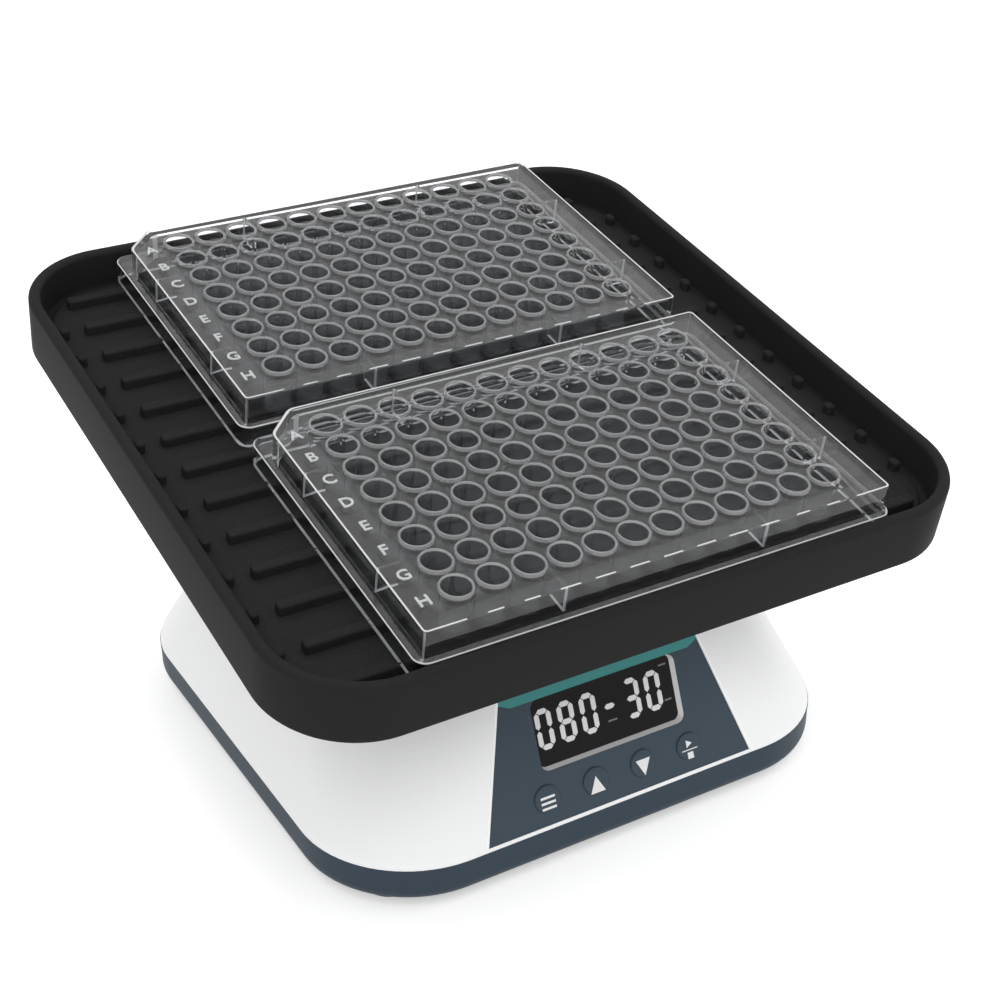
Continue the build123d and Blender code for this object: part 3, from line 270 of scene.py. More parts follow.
def noise_node(tree, vector, scale, detail=3.0, rough=0.55):
    """Noise over a vector; scale is a socket or a number. Returns its value output."""
    node = tree.nodes.new("ShaderNodeTexNoise")
    node.inputs["Detail"].default_value = detail
    node.inputs["Roughness"].default_value = rough
    tree.links.new(vector, node.inputs["Vector"])
    if isinstance(scale, (int, float)):
        node.inputs["Scale"].default_value = scale
    else:
        tree.links.new(scale, node.inputs["Scale"])
    return node.outputs["Fac"]


def make_drift_group():
    """Slow drift of tone over a surface: colour times 1 + amount * (noise - 0.5), and roughness moved
    alike."""
    group, source, sink = node_group(
        "tone drift",
        [("Vector", "NodeSocketVector", None), ("Colour", "NodeSocketColor", (0.8, 0.8, 0.8, 1)),
         ("Scale", "NodeSocketFloat", 30.0), ("Amount", "NodeSocketFloat", 0.05),
         ("Roughness", "NodeSocketFloat", 0.5), ("Gloss Drift", "NodeSocketFloat", 0.05)],
        [("Colour", "NodeSocketColor"), ("Roughness", "NodeSocketFloat")])
    fac = noise_node(group, source.outputs["Vector"], source.outputs["Scale"], 4.0)
    centred = math_node(group, "SUBTRACT", fac, 0.5)
    tone = math_node(group, "MULTIPLY_ADD", centred, source.outputs["Amount"])
    tone.node.inputs[2].default_value = 1.0
    scale = group.nodes.new("ShaderNodeVectorMath")
    scale.operation = "SCALE"
    group.links.new(source.outputs["Colour"], scale.inputs[0])
    group.links.new(tone, scale.inputs["Scale"])
    group.links.new(scale.outputs[0], sink.inputs["Colour"])
    gloss = math_node(group, "MULTIPLY_ADD", centred, source.outputs["Gloss Drift"])
    group.links.new(source.outputs["Roughness"], gloss.node.inputs[2])
    group.links.new(gloss, sink.inputs["Roughness"])
    return group


def make_grain_group():
    """Fine moulded grain: the height is a fast noise with a little slower waviness under it."""
    group, source, sink = node_group(
        "moulded grain",
        [("Vector", "NodeSocketVector", None), ("Grain Scale", "NodeSocketFloat", 2500.0),
         ("Wave Scale", "NodeSocketFloat", 90.0), ("Wave Share", "NodeSocketFloat", 0.3)],
        [("Height", "NodeSocketFloat")])
    fine = noise_node(group, source.outputs["Vector"], source.outputs["Grain Scale"], 2.0)
    slow = noise_node(group, source.outputs["Vector"], source.outputs["Wave Scale"], 1.0)
    wave = math_node(group, "MULTIPLY", slow, source.outputs["Wave Share"])
    total = math_node(group, "ADD", fine, wave)
    group.links.new(total, sink.inputs["Height"])
    return group


def make_dust_group():
    """Dust and handling: the base colour, lightened where sparse specks lie."""
    group, source, sink = node_group(
        "light dust",
        [("Vector", "NodeSocketVector", None), ("Colour", "NodeSocketColor", (0.02, 0.02, 0.02, 1)),
         ("Dust", "NodeSocketColor", (0.35, 0.34, 0.32, 1)), ("Amount", "NodeSocketFloat", 0.1)],
        [("Colour", "NodeSocketColor")])
    specks = noise_node(group, source.outputs["Vector"], 1400.0, 2.0)
    clouds = noise_node(group, source.outputs["Vector"], 45.0, 4.0)
    sparse = math_node(group, "SUBTRACT", specks, 0.58, clamp=True)
    drawn = math_node(group, "MULTIPLY", sparse, clouds)
    mask = math_node(group, "MULTIPLY", drawn, source.outputs["Amount"], clamp=True)
    mix = group.nodes.new("ShaderNodeMix")
    mix.data_type = "RGBA"
    group.links.new(mask, mix.inputs["Factor"])
    group.links.new(source.outputs["Colour"], mix.inputs["A"])
    group.links.new(source.outputs["Dust"], mix.inputs["B"])
    group.links.new(mix.outputs["Result"], sink.inputs["Colour"])
    return group


DRIFT = make_drift_group()
GRAIN = make_grain_group()
DUST = make_dust_group()
GRAIN_DEPTH = 0.02 * MM


def add_group(tree, group, **values):
    """Places a shared group in a material and sets its inputs; names use _ for a space."""
    node = tree.nodes.new("ShaderNodeGroup")
    node.node_tree = group
    for key, value in values.items():
        socket = node.inputs[key.replace("_", " ")]
        if isinstance(value, bpy.types.NodeSocket):
            tree.links.new(value, socket)
        else:
            socket.default_value = value
    return node


def new_material(name):
    """Material with a Principled BSDF and Object coordinates; returns material, tree, shader, vector."""
    material = bpy.data.materials.new(name)
    material.use_nodes = True
    tree = material.node_tree
    shader = tree.nodes["Principled BSDF"]
    coordinates = tree.nodes.new("ShaderNodeTexCoord")
    return material, tree, shader, coordinates.outputs["Object"]


def add_bump(tree, shader, height, strength, distance):
    """Bump from a height socket into the shader's normal."""
    bump = tree.nodes.new("ShaderNodeBump")
    bump.inputs["Strength"].default_value = strength
    bump.inputs["Distance"].default_value = distance
    tree.links.new(height, bump.inputs["Height"])
    tree.links.new(bump.outputs["Normal"], shader.inputs["Normal"])


def plain_finish(name, colour, roughness, metallic=0.0, drift=0.05, drift_scale=30.0, gloss_drift=0.08,
                 grain=0.25, grain_scale=2500.0, dust=0.0, coat=0.0, coat_ior=1.5, specular=0.5):
    """A finish with drift of tone and gloss, a grain, and dust where wanted."""
    material, tree, shader, vector = new_material(name)
    tone = add_group(tree, DRIFT, Vector=vector, Colour=(*colour, 1), Scale=drift_scale, Amount=drift,
                     Roughness=roughness, Gloss_Drift=gloss_drift)
    colour_out = tone.outputs["Colour"]
    if dust:
        dusty = add_group(tree, DUST, Vector=vector, Colour=colour_out, Amount=dust)
        colour_out = dusty.outputs["Colour"]
    tree.links.new(colour_out, shader.inputs["Base Color"])
    tree.links.new(tone.outputs["Roughness"], shader.inputs["Roughness"])
    shader.inputs["Metallic"].default_value = metallic
    shader.inputs["Coat Weight"].default_value = coat
    shader.inputs["Coat IOR"].default_value = coat_ior
    shader.inputs["Specular IOR Level"].default_value = specular
    relief = add_group(tree, GRAIN, Vector=vector, Grain_Scale=grain_scale)
    add_bump(tree, shader, relief.outputs["Height"], grain, GRAIN_DEPTH)
    return material


def bare_metal(name, colour, roughness, drift, grain):
    """A finish of uncoated metal."""
    return plain_finish(name, colour, roughness, metallic=1.0, drift=drift, grain=grain)


def clear_plastic(name, skin, ior, roughness=0.02, haze_and_highlight=0.0):
    """Thin clear polystyrene: light goes nearly straight through, a polished skin of the given weight gives
    the reflections, and the last argument is the share that scatters white: a faint haze on the cups, and
    painted highlight on the plates' rims and edges."""
    material, tree, shader, vector = new_material(name)
    tone = add_group(tree, DRIFT, Vector=vector, Colour=(0.98, 0.99, 1.0, 1), Scale=60.0, Amount=0.01,
                     Roughness=roughness, Gloss_Drift=0.02)
    tree.links.new(tone.outputs["Colour"], shader.inputs["Base Color"])
    tree.links.new(tone.outputs["Roughness"], shader.inputs["Roughness"])
    shader.inputs["Transmission Weight"].default_value = 1.0 - haze_and_highlight
    shader.inputs["IOR"].default_value = ior
    shader.inputs["Coat Weight"].default_value = skin
    shader.inputs["Coat Roughness"].default_value = 0.02
    shader.inputs["Coat IOR"].default_value = 1.55
    return material


def frosted_plastic(name):
    """Clear plastic with a matt skin, as on raised moulded letters."""
    material, tree, shader, vector = new_material(name)
    tone = add_group(tree, DRIFT, Vector=vector, Colour=(0.93, 0.94, 0.95, 1), Scale=400.0, Amount=0.05,
                     Roughness=0.35, Gloss_Drift=0.1)
    tree.links.new(tone.outputs["Colour"], shader.inputs["Base Color"])
    tree.links.new(tone.outputs["Roughness"], shader.inputs["Roughness"])
    shader.inputs["Transmission Weight"].default_value = 0.55
    shader.inputs["IOR"].default_value = 1.58
    return material


FROSTED = frosted_plastic("frosted letters")
MATERIALS = {
    "shell": plain_finish("satin white shell", (0.915, 0.92, 0.925), 0.34, drift=0.02, gloss_drift=0.06,
                          grain=0.12, grain_scale=900.0, coat=0.15),
    "pan": plain_finish("slate pan", (0.040, 0.058, 0.078), 0.46, drift=0.06, grain=0.35, specular=0.12),
    "panel": plain_finish("panel film", (0.040, 0.060, 0.080), 0.38, drift=0.03, grain=0.15,
                          grain_scale=1500.0, specular=0.22),
    "accent": plain_finish("teal print", (0.016, 0.235, 0.225), 0.38, drift=0.03, grain=0.15,
                           grain_scale=1500.0),
    "bezel": plain_finish("bright bezel", (0.72, 0.72, 0.73), 0.42, metallic=0.2, drift=0.02, grain=0.05),
    "display_window": plain_finish("display glass", (0.010, 0.009, 0.010), 0.16, drift=0.02, grain=0.03,
                                   specular=0.12),
    "key": plain_finish("keys", (0.040, 0.060, 0.079), 0.32, drift=0.03, grain=0.10, specular=0.22),
    "board": plain_finish("circuit board", (0.02, 0.13, 0.06), 0.40, drift=0.10, grain=0.1),
    "component": plain_finish("moulded black", (0.022, 0.022, 0.024), 0.45, drift=0.08, grain=0.3),
    "foot_rubber": plain_finish("foot rubber", (0.020, 0.020, 0.021), 0.80, drift=0.12, grain=0.5, dust=0.5),
    "boot_rubber": plain_finish("boot rubber", (0.022, 0.022, 0.023), 0.62, drift=0.12, grain=0.5, dust=0.5),
    "screw_steel": bare_metal("zinc screws", (0.56, 0.56, 0.57), 0.30, drift=0.08, grain=0.1),
    "chassis_steel": bare_metal("chassis sheet", (0.50, 0.51, 0.53), 0.38, drift=0.08, grain=0.2),
    "housing_aluminium": bare_metal("turned aluminium", (0.75, 0.76, 0.77), 0.30, drift=0.04, grain=0.2),
    "bearing_steel": bare_metal("ground steel", (0.62, 0.62, 0.63), 0.20, drift=0.04, grain=0.05),
    "motor_case": plain_finish("motor enamel", (0.03, 0.03, 0.033), 0.35, drift=0.06, grain=0.2),
    "pulley": plain_finish("pulley moulding", (0.035, 0.035, 0.04), 0.5, drift=0.06, grain=0.2),
    "belt": plain_finish("belt rubber", (0.015, 0.015, 0.015), 0.75, drift=0.1, grain=0.4),
    "shaft_steel": bare_metal("shaft steel", (0.64, 0.64, 0.65), 0.18, drift=0.03, grain=0.05),
    "weight_brass": bare_metal("weight brass", (0.72, 0.52, 0.22), 0.30, drift=0.06, grain=0.1),
    "tray_metal": plain_finish("tray coat", (0.0196, 0.0196, 0.0203), 0.55, drift=0.05, grain=0.45,
                               grain_scale=3200.0, dust=0.12, specular=0.03),
    "mat_rubber": plain_finish("mat rubber", (0.0215, 0.0215, 0.0220), 0.78, drift=0.14, grain=0.5, dust=0.35,
                               specular=0.05),
    "microplate": clear_plastic("clear plate", skin=0.8, ior=1.06),
}
CLEAR_CUPS = clear_plastic("clear cups", skin=0.12, ior=1.02, haze_and_highlight=0.014)
# painted highlights: clear plastic that scatters white on the plates' rims and on their edges
RIM_HIGHLIGHT_FINISH = clear_plastic("painted rim highlights", skin=0.8, ior=1.06, roughness=0.1, haze_and_highlight=0.19)
EDGE_HIGHLIGHT_FINISH = clear_plastic("painted edge highlights", skin=1.0, ior=1.1, roughness=0.1, haze_and_highlight=0.6)
# the ridges' white is a little lighter than the shell's, a painted highlight; the strong coat gives their
# reflection
RIDGE_WHITE_WITH_HIGHLIGHT = plain_finish("polished ridge with painted highlight", (0.96, 0.96, 0.96), 0.30, drift=0.01, grain=0.05,
                           coat=1.0, coat_ior=2.3)
PRINT_WHITE = plain_finish("white print", (0.78, 0.78, 0.78), 0.45, drift=0.02, grain=0.1)
DISPLAY_WHITE = plain_finish("lit segments", (0.74, 0.74, 0.75), 0.35, drift=0.02, grain=0.03)
DISPLAY_GREY = plain_finish("dim unit marks", (0.17, 0.17, 0.18), 0.35, drift=0.02, grain=0.03)


def dress_frame():
    """Gives every CAD node the finish of its slot."""
    for entry in frame["record"]["subparts"]:
        mesh = NODES[entry["node"]].data
        mesh.materials.clear()
        mesh.materials.append(MATERIALS[entry["material_slot"]])


# Tray and mat

RIB_COUNT = 13
RIB_PITCH = 13.3 * MM
RIB_HALF_WIDTH = 1.5 * MM
RIB_END_R = 0.9 * MM
RIB_MARGIN = 9.6 * MM            # ribs' ends to the tray's wall
RIB_CROWN = 1.2 * MM             # a rib's top is swept this far in from its foot's outline
STUB_GAP = 4.4 * MM
STUB_MARGIN = 0.3 * MM           # stubs' ends to the mat's edge
MAT_CORNER = TRAY_CORNER - TRAY_WALL - (TRAY_HALF - TRAY_WALL - MAT_HALF)
SWEEP_REACH = 6 * MM             # how far in a flat face is swept before a cap closes it
SINK = 0.2 * MM                  # how far one body of a piece reaches into the next


def make_tray():
    """Dish: a profile from under the floor, down the wall's foot, up outside, over the lip and down to the
    floor."""
    inside = TRAY_WALL + 4 * MM
    profile = [(inside, TRAY_LOW_Z), (TRAY_WALL, TRAY_LOW_Z), (TRAY_WALL, TRAY_FOOT_Z), (0, TRAY_FOOT_Z),
               (0, TRAY_TOP_Z), (TRAY_WALL, TRAY_TOP_Z), (TRAY_WALL, TRAY_FLOOR_Z), (inside, TRAY_FLOOR_Z)]
    profile = rounded_profile(profile, [0.5 * MM, 0.4 * MM, 0.9 * MM, 1.2 * MM, 1.2 * MM, 1.5 * MM])
    points, faces = square_sweep(TRAY_HALF, TRAY_HALF, TRAY_CORNER, profile, steps=24)
    tray = new_piece("tray_dish", deck_point(points), faces)
    stands_for(tray, "platform", "tray_metal", MATERIALS["tray_metal"], "tray")


def rib(low_x, high_x, y):
    """Rounded bar along X on the mat, between two ends."""
    profile = [(0, MAT_TOP_Z - SINK), (0, RIB_TOP_Z), (RIB_CROWN, RIB_TOP_Z)]
    profile = rounded_profile(profile, [0.55 * MM], 5)
    points, faces = square_sweep((high_x - low_x) / 2, RIB_HALF_WIDTH, RIB_END_R, profile, steps=5)
    return points + [(high_x + low_x) / 2, y, 0], faces


def mat_reach(y):
    """Half the mat's width at y: less where its corner arcs begin."""
    over = max(abs(y) + RIB_HALF_WIDTH - (MAT_HALF - MAT_CORNER), 0.0)
    return MAT_HALF - MAT_CORNER + (MAT_CORNER ** 2 - over ** 2) ** 0.5


def make_mat():
    """Rubber mat: a slab with ribs, and past a gap a stub of each rib out to the mat's edge."""
    profile = [(SWEEP_REACH, TRAY_FLOOR_Z), (0, TRAY_FLOOR_Z), (0, MAT_TOP_Z), (SWEEP_REACH, MAT_TOP_Z)]
    profile = rounded_profile(profile, [0.2 * MM, 0.5 * MM], 4)
    parts = [square_sweep(MAT_HALF, MAT_HALF, MAT_CORNER, profile, steps=20)]
    reach = TRAY_HALF - TRAY_WALL - RIB_MARGIN
    for index in range(RIB_COUNT):
        y = RIB_PITCH * (index - (RIB_COUNT - 1) / 2)
        parts.append(rib(-reach, reach, y))
        edge = mat_reach(y) - STUB_MARGIN
        start = reach + STUB_GAP
        if edge - start > 2 * RIB_END_R:
            parts += [rib(start, edge, y), rib(-edge, -start, y)]
    points, faces = merged(parts)
    mat = new_piece("mat_with_ribs", deck_point(points), faces)
    stands_for(mat, "platform", "mat_rubber", MATERIALS["mat_rubber"], "ribbed_mat")


# Microplates

PLATE_HALF_X = 63.88 * MM        # standard footprint
PLATE_HALF_Y = 42.74 * MM
PLATE_CORNER = 3.2 * MM
PLATE_WALL = 1.2 * MM
WALL_CORNER = 1.25 * MM          # of the upright walls, above the ledge: more than their thickness
CORNER_HIGHLIGHT_HALF = 0.45 * MM          # half width of the painted highlight line down each corner
LEDGE_W = 1.58 * MM
SKIRT_TOP = 6.0 * MM             # heights above the plate's underside
DECK_LOW = 12.05 * MM
DECK_TOP = 13.25 * MM
RIM_TOP = 14.35 * MM
WELL_FLOOR = 3.45 * MM
CUP_LOW = 2.25 * MM
CORNER_CUT = 7.5 * MM
WELL_PITCH = 9.0 * MM
WELL_COLUMNS = 12
WELL_ROWS = 8
WELL_R = 3.43 * MM
CUP_R = 4.03 * MM
CELL_STEPS = 32                  # points round a well, an eighth of them on half a side of its cell
WEB_REACH = 5.3 * MM
WEB_T = 0.8 * MM
WEB_FOOT = 0.35 * MM             # bar that carries a painted highlight line where a web meets its wall
CUT_ROUND = 3.0 * MM
PLATES_Y = {"plate_front": -45.86 * MM, "plate_back": 43.74 * MM}
ROW_LETTERS = "HGFEDCBA"
LETTER_SIZE = 4.6 * MM
LETTER_RELIEF = 0.12 * MM
LETTER_X = -57.6 * MM
LETTER_DROP = 0.8 * MM           # letters' centre in front of their row's
LETTER_RISE = 0.10 * MM          # above the deck
# finish numbers: the plates' skin, the cups, and the painted highlights on rims and on edges
SKIN, CUPS, RIM_HIGHLIGHT_INDEX, EDGE_HIGHLIGHT_INDEX = range(4)
LEVEL_GAP = 0.01 * MM            # faces nearer than this to a level lie on it
FOOT_HIGHLIGHT_H = 0.14 * MM             # height of the painted highlight line round the skirt's foot
LEDGE_HIGHLIGHT_H = 0.2 * MM             # height of the painted highlight line under the ledge's edge
BEAD_HIGHLIGHT_FROM = 0.2 * MM              # the bead carries painted highlight from this far above the deck
RIM_HIGHLIGHT_FROM = 0.4 * MM               # and the rims from this far above it
WEB_HIGHLIGHT_SPAN = (0.05 * MM, 0.6 * MM)  # the webs' painted highlight lines, from the wall


def plate_loop(half_x, half_y, radius, cut=0.0, steps=8):
    """Outline, anticlockwise: each corner an arc, or a cut with rounded ends beside well A1, and each side
    split as finely as the wells' cells beside it."""
    corners = []
    quarter = np.linspace(0, pi / 2, steps + 1)
    for k, (sign_x, sign_y) in enumerate(((1, 1), (-1, 1), (-1, -1), (1, -1))):
        x = sign_x * (half_x - radius) + radius * np.cos(quarter + pi / 2 * k)
        y = sign_y * (half_y - radius) + radius * np.sin(quarter + pi / 2 * k)
        if cut and k == 1:
            bend = np.linspace(0, pi / 4, steps // 2)
            reach = CUT_ROUND * tan(pi / 8)
            turn_x = cut - half_x + reach - CUT_ROUND * np.sin(bend)
            turn_y = half_y - CUT_ROUND + CUT_ROUND * np.cos(bend)
            x = np.concatenate([turn_x, [cut / 2 - half_x], half_y - half_x - turn_y[::-1]])
            y = np.concatenate([turn_y, [half_y - cut / 2], half_y - half_x - turn_x[::-1]])
        corners.append(np.stack([x, y], -1))
    loop = []
    for k, count in enumerate((WELL_COLUMNS, WELL_ROWS, WELL_COLUMNS, WELL_ROWS)):
        side = np.linspace(corners[k][-1], corners[(k + 1) % 4][0], count * CELL_STEPS // 4 + 1)
        loop += [corners[k], side[1:-1]]
    return np.concatenate(loop)


def plate_walls():
    """Deck border, walls, ledge and skirt: one run of outlines from the deck's underside out, down, round
    the skirt's foot, up and in again over the deck. The runs are pairs of inset and height in millimetres."""
    field_x = WELL_COLUMNS * WELL_PITCH / 2
    field_y = WELL_ROWS * WELL_PITCH / 2
    inner = LEDGE_W + PLATE_WALL
    shell_r = WALL_CORNER - PLATE_WALL
    outer_run = [(0, 0.15), (0, 5.75), (0.08, 5.93), (0.25, 6.0)]
    upper_run = [(0, 6.05), (0, 13.29), (0.08, 13.47), (0.22, 13.54), (0.42, 13.54), (0.55, 13.46),
                 (0.62, 13.25)]
    rings = [(field_x, field_y, 0.0, 0.0, DECK_LOW)]
    for height in (DECK_LOW, SKIRT_TOP - PLATE_WALL):
        rings.append((PLATE_HALF_X - inner, PLATE_HALF_Y - inner, shell_r, CORNER_CUT, height))
    for inset, height in ((PLATE_WALL, SKIRT_TOP - PLATE_WALL), (PLATE_WALL, 0.12 * MM),
                          (PLATE_WALL - 0.12 * MM, 0), (0.15 * MM, 0)):
        rings.append((PLATE_HALF_X - inset, PLATE_HALF_Y - inset, PLATE_CORNER - inset, 0.0, height))
    for inset, height in outer_run:
        inset *= MM
        rings.append((PLATE_HALF_X - inset, PLATE_HALF_Y - inset, PLATE_CORNER - inset, 0.0, height * MM))
    for inset, height in upper_run:
        inset *= MM
        rings.append((PLATE_HALF_X - LEDGE_W - inset, PLATE_HALF_Y - LEDGE_W - inset, WALL_CORNER - inset,
                      CORNER_CUT, height * MM))
    rings.append((field_x, field_y, 0.0, 0.0, DECK_TOP))
    loops = [plate_loop(*ring[:4]) for ring in rings]
    heights = [np.full((len(loops[0]), 1), ring[4]) for ring in rings]
    points = np.stack([np.concatenate(pair, -1) for pair in zip(loops, heights)])
    return points.reshape(-1, 3), grid_quads(len(rings), len(loops[0]), wrap_columns=True).tolist()


def cell_field(profile, edge_first):
    """The wells' cells: in each, a profile of (radius, height) turned about the well's axis, with one more
    ring on the cell's square edge, whose x and y are clipped triangle waves of the turn, a quarter turn
    apart."""
    eighths = np.arange(CELL_STEPS) * 8 / CELL_STEPS
    wave = [np.clip(2 - np.abs((eighths - shift + 4) % 8 - 4), -1, 1) for shift in (0, 2)]
    square = np.stack(wave, -1) * WELL_PITCH / 2
    turn = eighths * pi / 4
    circle = np.stack([np.cos(turn), np.sin(turn)], -1)
    profile = np.asarray(profile, float)
    rings = [radius * circle for radius in profile[:, 0]]
    heights = list(profile[:, 1])
    if edge_first:
        rings, heights = [square] + rings, [heights[0]] + heights
    else:
        rings, heights = rings + [square], heights + [heights[-1]]
    heights = np.broadcast_to(np.array(heights)[:, None, None], (len(rings), CELL_STEPS, 1))
    cell = np.concatenate([np.stack(rings), heights], -1).reshape(-1, 3)
    x = WELL_PITCH * (np.arange(WELL_COLUMNS) - (WELL_COLUMNS - 1) / 2)
    y = WELL_PITCH * (np.arange(WELL_ROWS) - (WELL_ROWS - 1) / 2)
    level = np.zeros((WELL_COLUMNS, WELL_ROWS))
    centres = np.stack([*np.meshgrid(x, y, indexing="ij"), level], -1).reshape(-1, 1, 3)
    quads = grid_quads(len(rings), CELL_STEPS, wrap_columns=True)
    starts = np.arange(len(centres))[:, None, None] * len(cell)
    return (centres + cell).reshape(-1, 3), (starts + quads).reshape(-1, 4).tolist()


def plate_webs():
    """Upright webs inside the walls, two on each side, square to them, each with a thin bar on its wall that
    carries a painted highlight line.
    """
    low, high = SKIRT_TOP, DECK_LOW + SINK
    inner_x = PLATE_HALF_X - LEDGE_W - PLATE_WALL
    inner_y = PLATE_HALF_Y - LEDGE_W - PLATE_WALL
    webs = []
    for side in (-1, 1):
        for other in (-1, 1):
            for reach, thick in ((WEB_REACH, WEB_T), (WEB_FOOT, WEB_FOOT)):
                length = reach + SINK
                x = side * (inner_x + (SINK - reach) / 2)
                y = side * (inner_y + (SINK - reach) / 2)
                webs.append(prism(bar_outline(x, other * 2 * WELL_PITCH, length, thick), low, high))
                webs.append(prism(bar_outline(other * 3 * WELL_PITCH, y, thick, length), low, high))
    return webs


def row_letters():
    """Raised row letters beside the first column, A at the rear, as meshes in the plate's frame."""
    letters = []
    for row, letter in enumerate(ROW_LETTERS):
        curve = bpy.data.curves.new("row letter", "FONT")
        curve.body = letter
        curve.size = LETTER_SIZE
        curve.extrude = LETTER_RELIEF
        curve.bevel_depth = LETTER_RELIEF / 2
        curve.bevel_resolution = 1
        curve.resolution_u = 3
        curve.align_x = "CENTER"
        curve.align_y = "CENTER"
        text = bpy.data.objects.new("row letter", curve)
        mesh = bpy.data.meshes.new_from_object(text)
        points = np.empty(len(mesh.vertices) * 3)
        mesh.vertices.foreach_get("co", points)
        place = [LETTER_X, WELL_PITCH * (row - (WELL_ROWS - 1) / 2) - LETTER_DROP, DECK_TOP + LETTER_RISE]
        letters.append((points.reshape(-1, 3) + place, [list(face.vertices) for face in mesh.polygons]))
        bpy.data.meshes.remove(mesh)
        bpy.data.objects.remove(text)
        bpy.data.curves.remove(curve)
    return letters


def plate_finishes(points, faces):
    """Numbers of the faces' materials: skin, cups, painted highlight on the rims and in a line down the
    walls' corners, and painted highlight on the edges of bead, ledge, skirt and webs. The front bead carries
    it between the wells and is plain beside them."""
    middle = np.array([points[face].mean(0) for face in faces])
    x, y, z = np.abs(middle[:, 0]), np.abs(middle[:, 1]), middle[:, 2]
    wall_x = PLATE_HALF_X - LEDGE_W
    wall_y = PLATE_HALF_Y - LEDGE_W
    from_wall = np.minimum(wall_x - PLATE_WALL - x, wall_y - PLATE_WALL - y)
    beside_well = np.abs(x % WELL_PITCH - WELL_PITCH / 2) < WELL_PITCH / 4
    corner_x = x - wall_x + WALL_CORNER
    corner_y = y - wall_y + WALL_CORNER
    at_corner = (corner_x > 0) & (corner_y > 0) & (np.abs(corner_x - corner_y) < CORNER_HIGHLIGHT_HALF)
    in_columns = x < WELL_COLUMNS * WELL_PITCH / 2
    in_field = in_columns & (y < WELL_ROWS * WELL_PITCH / 2)
    over_ledge = (x > wall_x) | (y > wall_y)
    on_bead = z > DECK_TOP + BEAD_HIGHLIGHT_FROM
    in_front = middle[:, 1] < MM - wall_y
    at_web = (from_wall > WEB_HIGHLIGHT_SPAN[0]) & (from_wall < WEB_HIGHLIGHT_SPAN[1]) & (z > SKIRT_TOP)
    from_ledge = np.abs(z - SKIRT_TOP)
    finishes = np.full(len(faces), SKIN)
    finishes[in_field & (z < DECK_TOP - LEVEL_GAP)] = CUPS
    finishes[in_field & (z > DECK_TOP + RIM_HIGHLIGHT_FROM)] = RIM_HIGHLIGHT_INDEX
    finishes[at_corner & (z > SKIRT_TOP)] = RIM_HIGHLIGHT_INDEX
    finishes[~in_field & on_bead] = EDGE_HIGHLIGHT_INDEX
    finishes[in_front & in_columns & on_bead & beside_well] = SKIN
    finishes[~in_field & at_web] = EDGE_HIGHLIGHT_INDEX
    finishes[over_ledge & (from_ledge < LEDGE_HIGHLIGHT_H) & (z < SKIRT_TOP)] = EDGE_HIGHLIGHT_INDEX
    finishes[over_ledge & (z < FOOT_HIGHLIGHT_H)] = EDGE_HIGHLIGHT_INDEX
    finishes[~over_ledge & (from_ledge < LEVEL_GAP)] = EDGE_HIGHLIGHT_INDEX
    return finishes


def make_plates():
    """Clear plates: walls, wells with raised rims and the cups' outsides in one closed skin, and the webs,
    which reach into it."""
    rim_out = CUP_R + 0.12 * MM
    well = [(rim_out, DECK_TOP), (CUP_R, DECK_TOP + 0.12 * MM), (CUP_R - 0.02 * MM, RIM_TOP - 0.2 * MM),
            (CUP_R - 0.16 * MM, RIM_TOP - 0.03 * MM), (CUP_R - 0.3 * MM, RIM_TOP),
            (WELL_R + 0.14 * MM, RIM_TOP - 0.02 * MM), (WELL_R + 0.03 * MM, RIM_TOP - 0.16 * MM),
            (WELL_R, RIM_TOP - 0.5 * MM), (WELL_R - 0.1 * MM, WELL_FLOOR + 0.5 * MM),
            (WELL_R - 0.25 * MM, WELL_FLOOR + 0.15 * MM), (WELL_R - 0.6 * MM, WELL_FLOOR), (0.0, WELL_FLOOR)]
    cup = [(0.0, CUP_LOW), (CUP_R - 0.5 * MM, CUP_LOW), (CUP_R - 0.2 * MM, CUP_LOW + 0.2 * MM),
           (CUP_R - 0.1 * MM, CUP_LOW + 0.6 * MM), (CUP_R, DECK_LOW - 0.15 * MM), (rim_out, DECK_LOW)]
    points, faces = merged([plate_walls(), cell_field(well, True), cell_field(cup, False)] + plate_webs())
    face_finishes = plate_finishes(points, faces)
    finishes = [MATERIALS["microplate"], CLEAR_CUPS, RIM_HIGHLIGHT_FINISH, EDGE_HIGHLIGHT_FINISH]
    letter_points, letter_faces = merged(row_letters())
    for node, body in (("plate_front", "front_plate"), ("plate_back", "back_plate")):
        lift = [0, PLATES_Y[node], RIB_TOP_Z]
        plate = new_piece(node + "_clear", deck_point(points + lift), faces, 50, face_finishes)
        stands_for(plate, body, "microplate", finishes, node)
        letters = new_piece(node + "_letters", deck_point(letter_points + lift), letter_faces)
        stands_for(letters, body, "microplate", FROSTED)


# Pan's upper edge

PAN_CORNER = 30 * MM
PAN_EDGE_Z = (11.5 * MM, 12.95 * MM)
PAN_PROUD = 0.06 * MM
PAN_BAND_T = 0.4 * MM
PAN_CHAMFER = 0.05 * MM


def make_pan_edge():
    """The pan's thin upper edge, which stands before the shell's foot: a closed band round the housing."""
    low, high = PAN_EDGE_Z
    profile = [(0, low), (0, high - PAN_CHAMFER), (PAN_CHAMFER, high), (PAN_BAND_T, high), (PAN_BAND_T, low)]
    half_x, half_y = (half + PAN_PROUD for half in PAN_HALF)
    points, faces = square_sweep(half_x, half_y, PAN_CORNER + PAN_PROUD, profile, 24, True, (False, False))
    stands_for(new_piece("pan_edge", points, faces), "base", "pan", MATERIALS["pan"])


# Boot

BOOT_R = 36.6 * MM
BOOT_WAIST_R = 33.0 * MM
BOOT_WALL = 1.4 * MM
BOOT_CUFF_R = 34.02 * MM
BOOT_TOP_Z = -1.3 * MM
FLANGE_LOW_Z = -4.5 * MM
FOLD_TOP_Z = FLANGE_LOW_Z - BOOT_WALL
BOOT_FOLDS = 3
FOLD_PITCH = 5.0 * MM


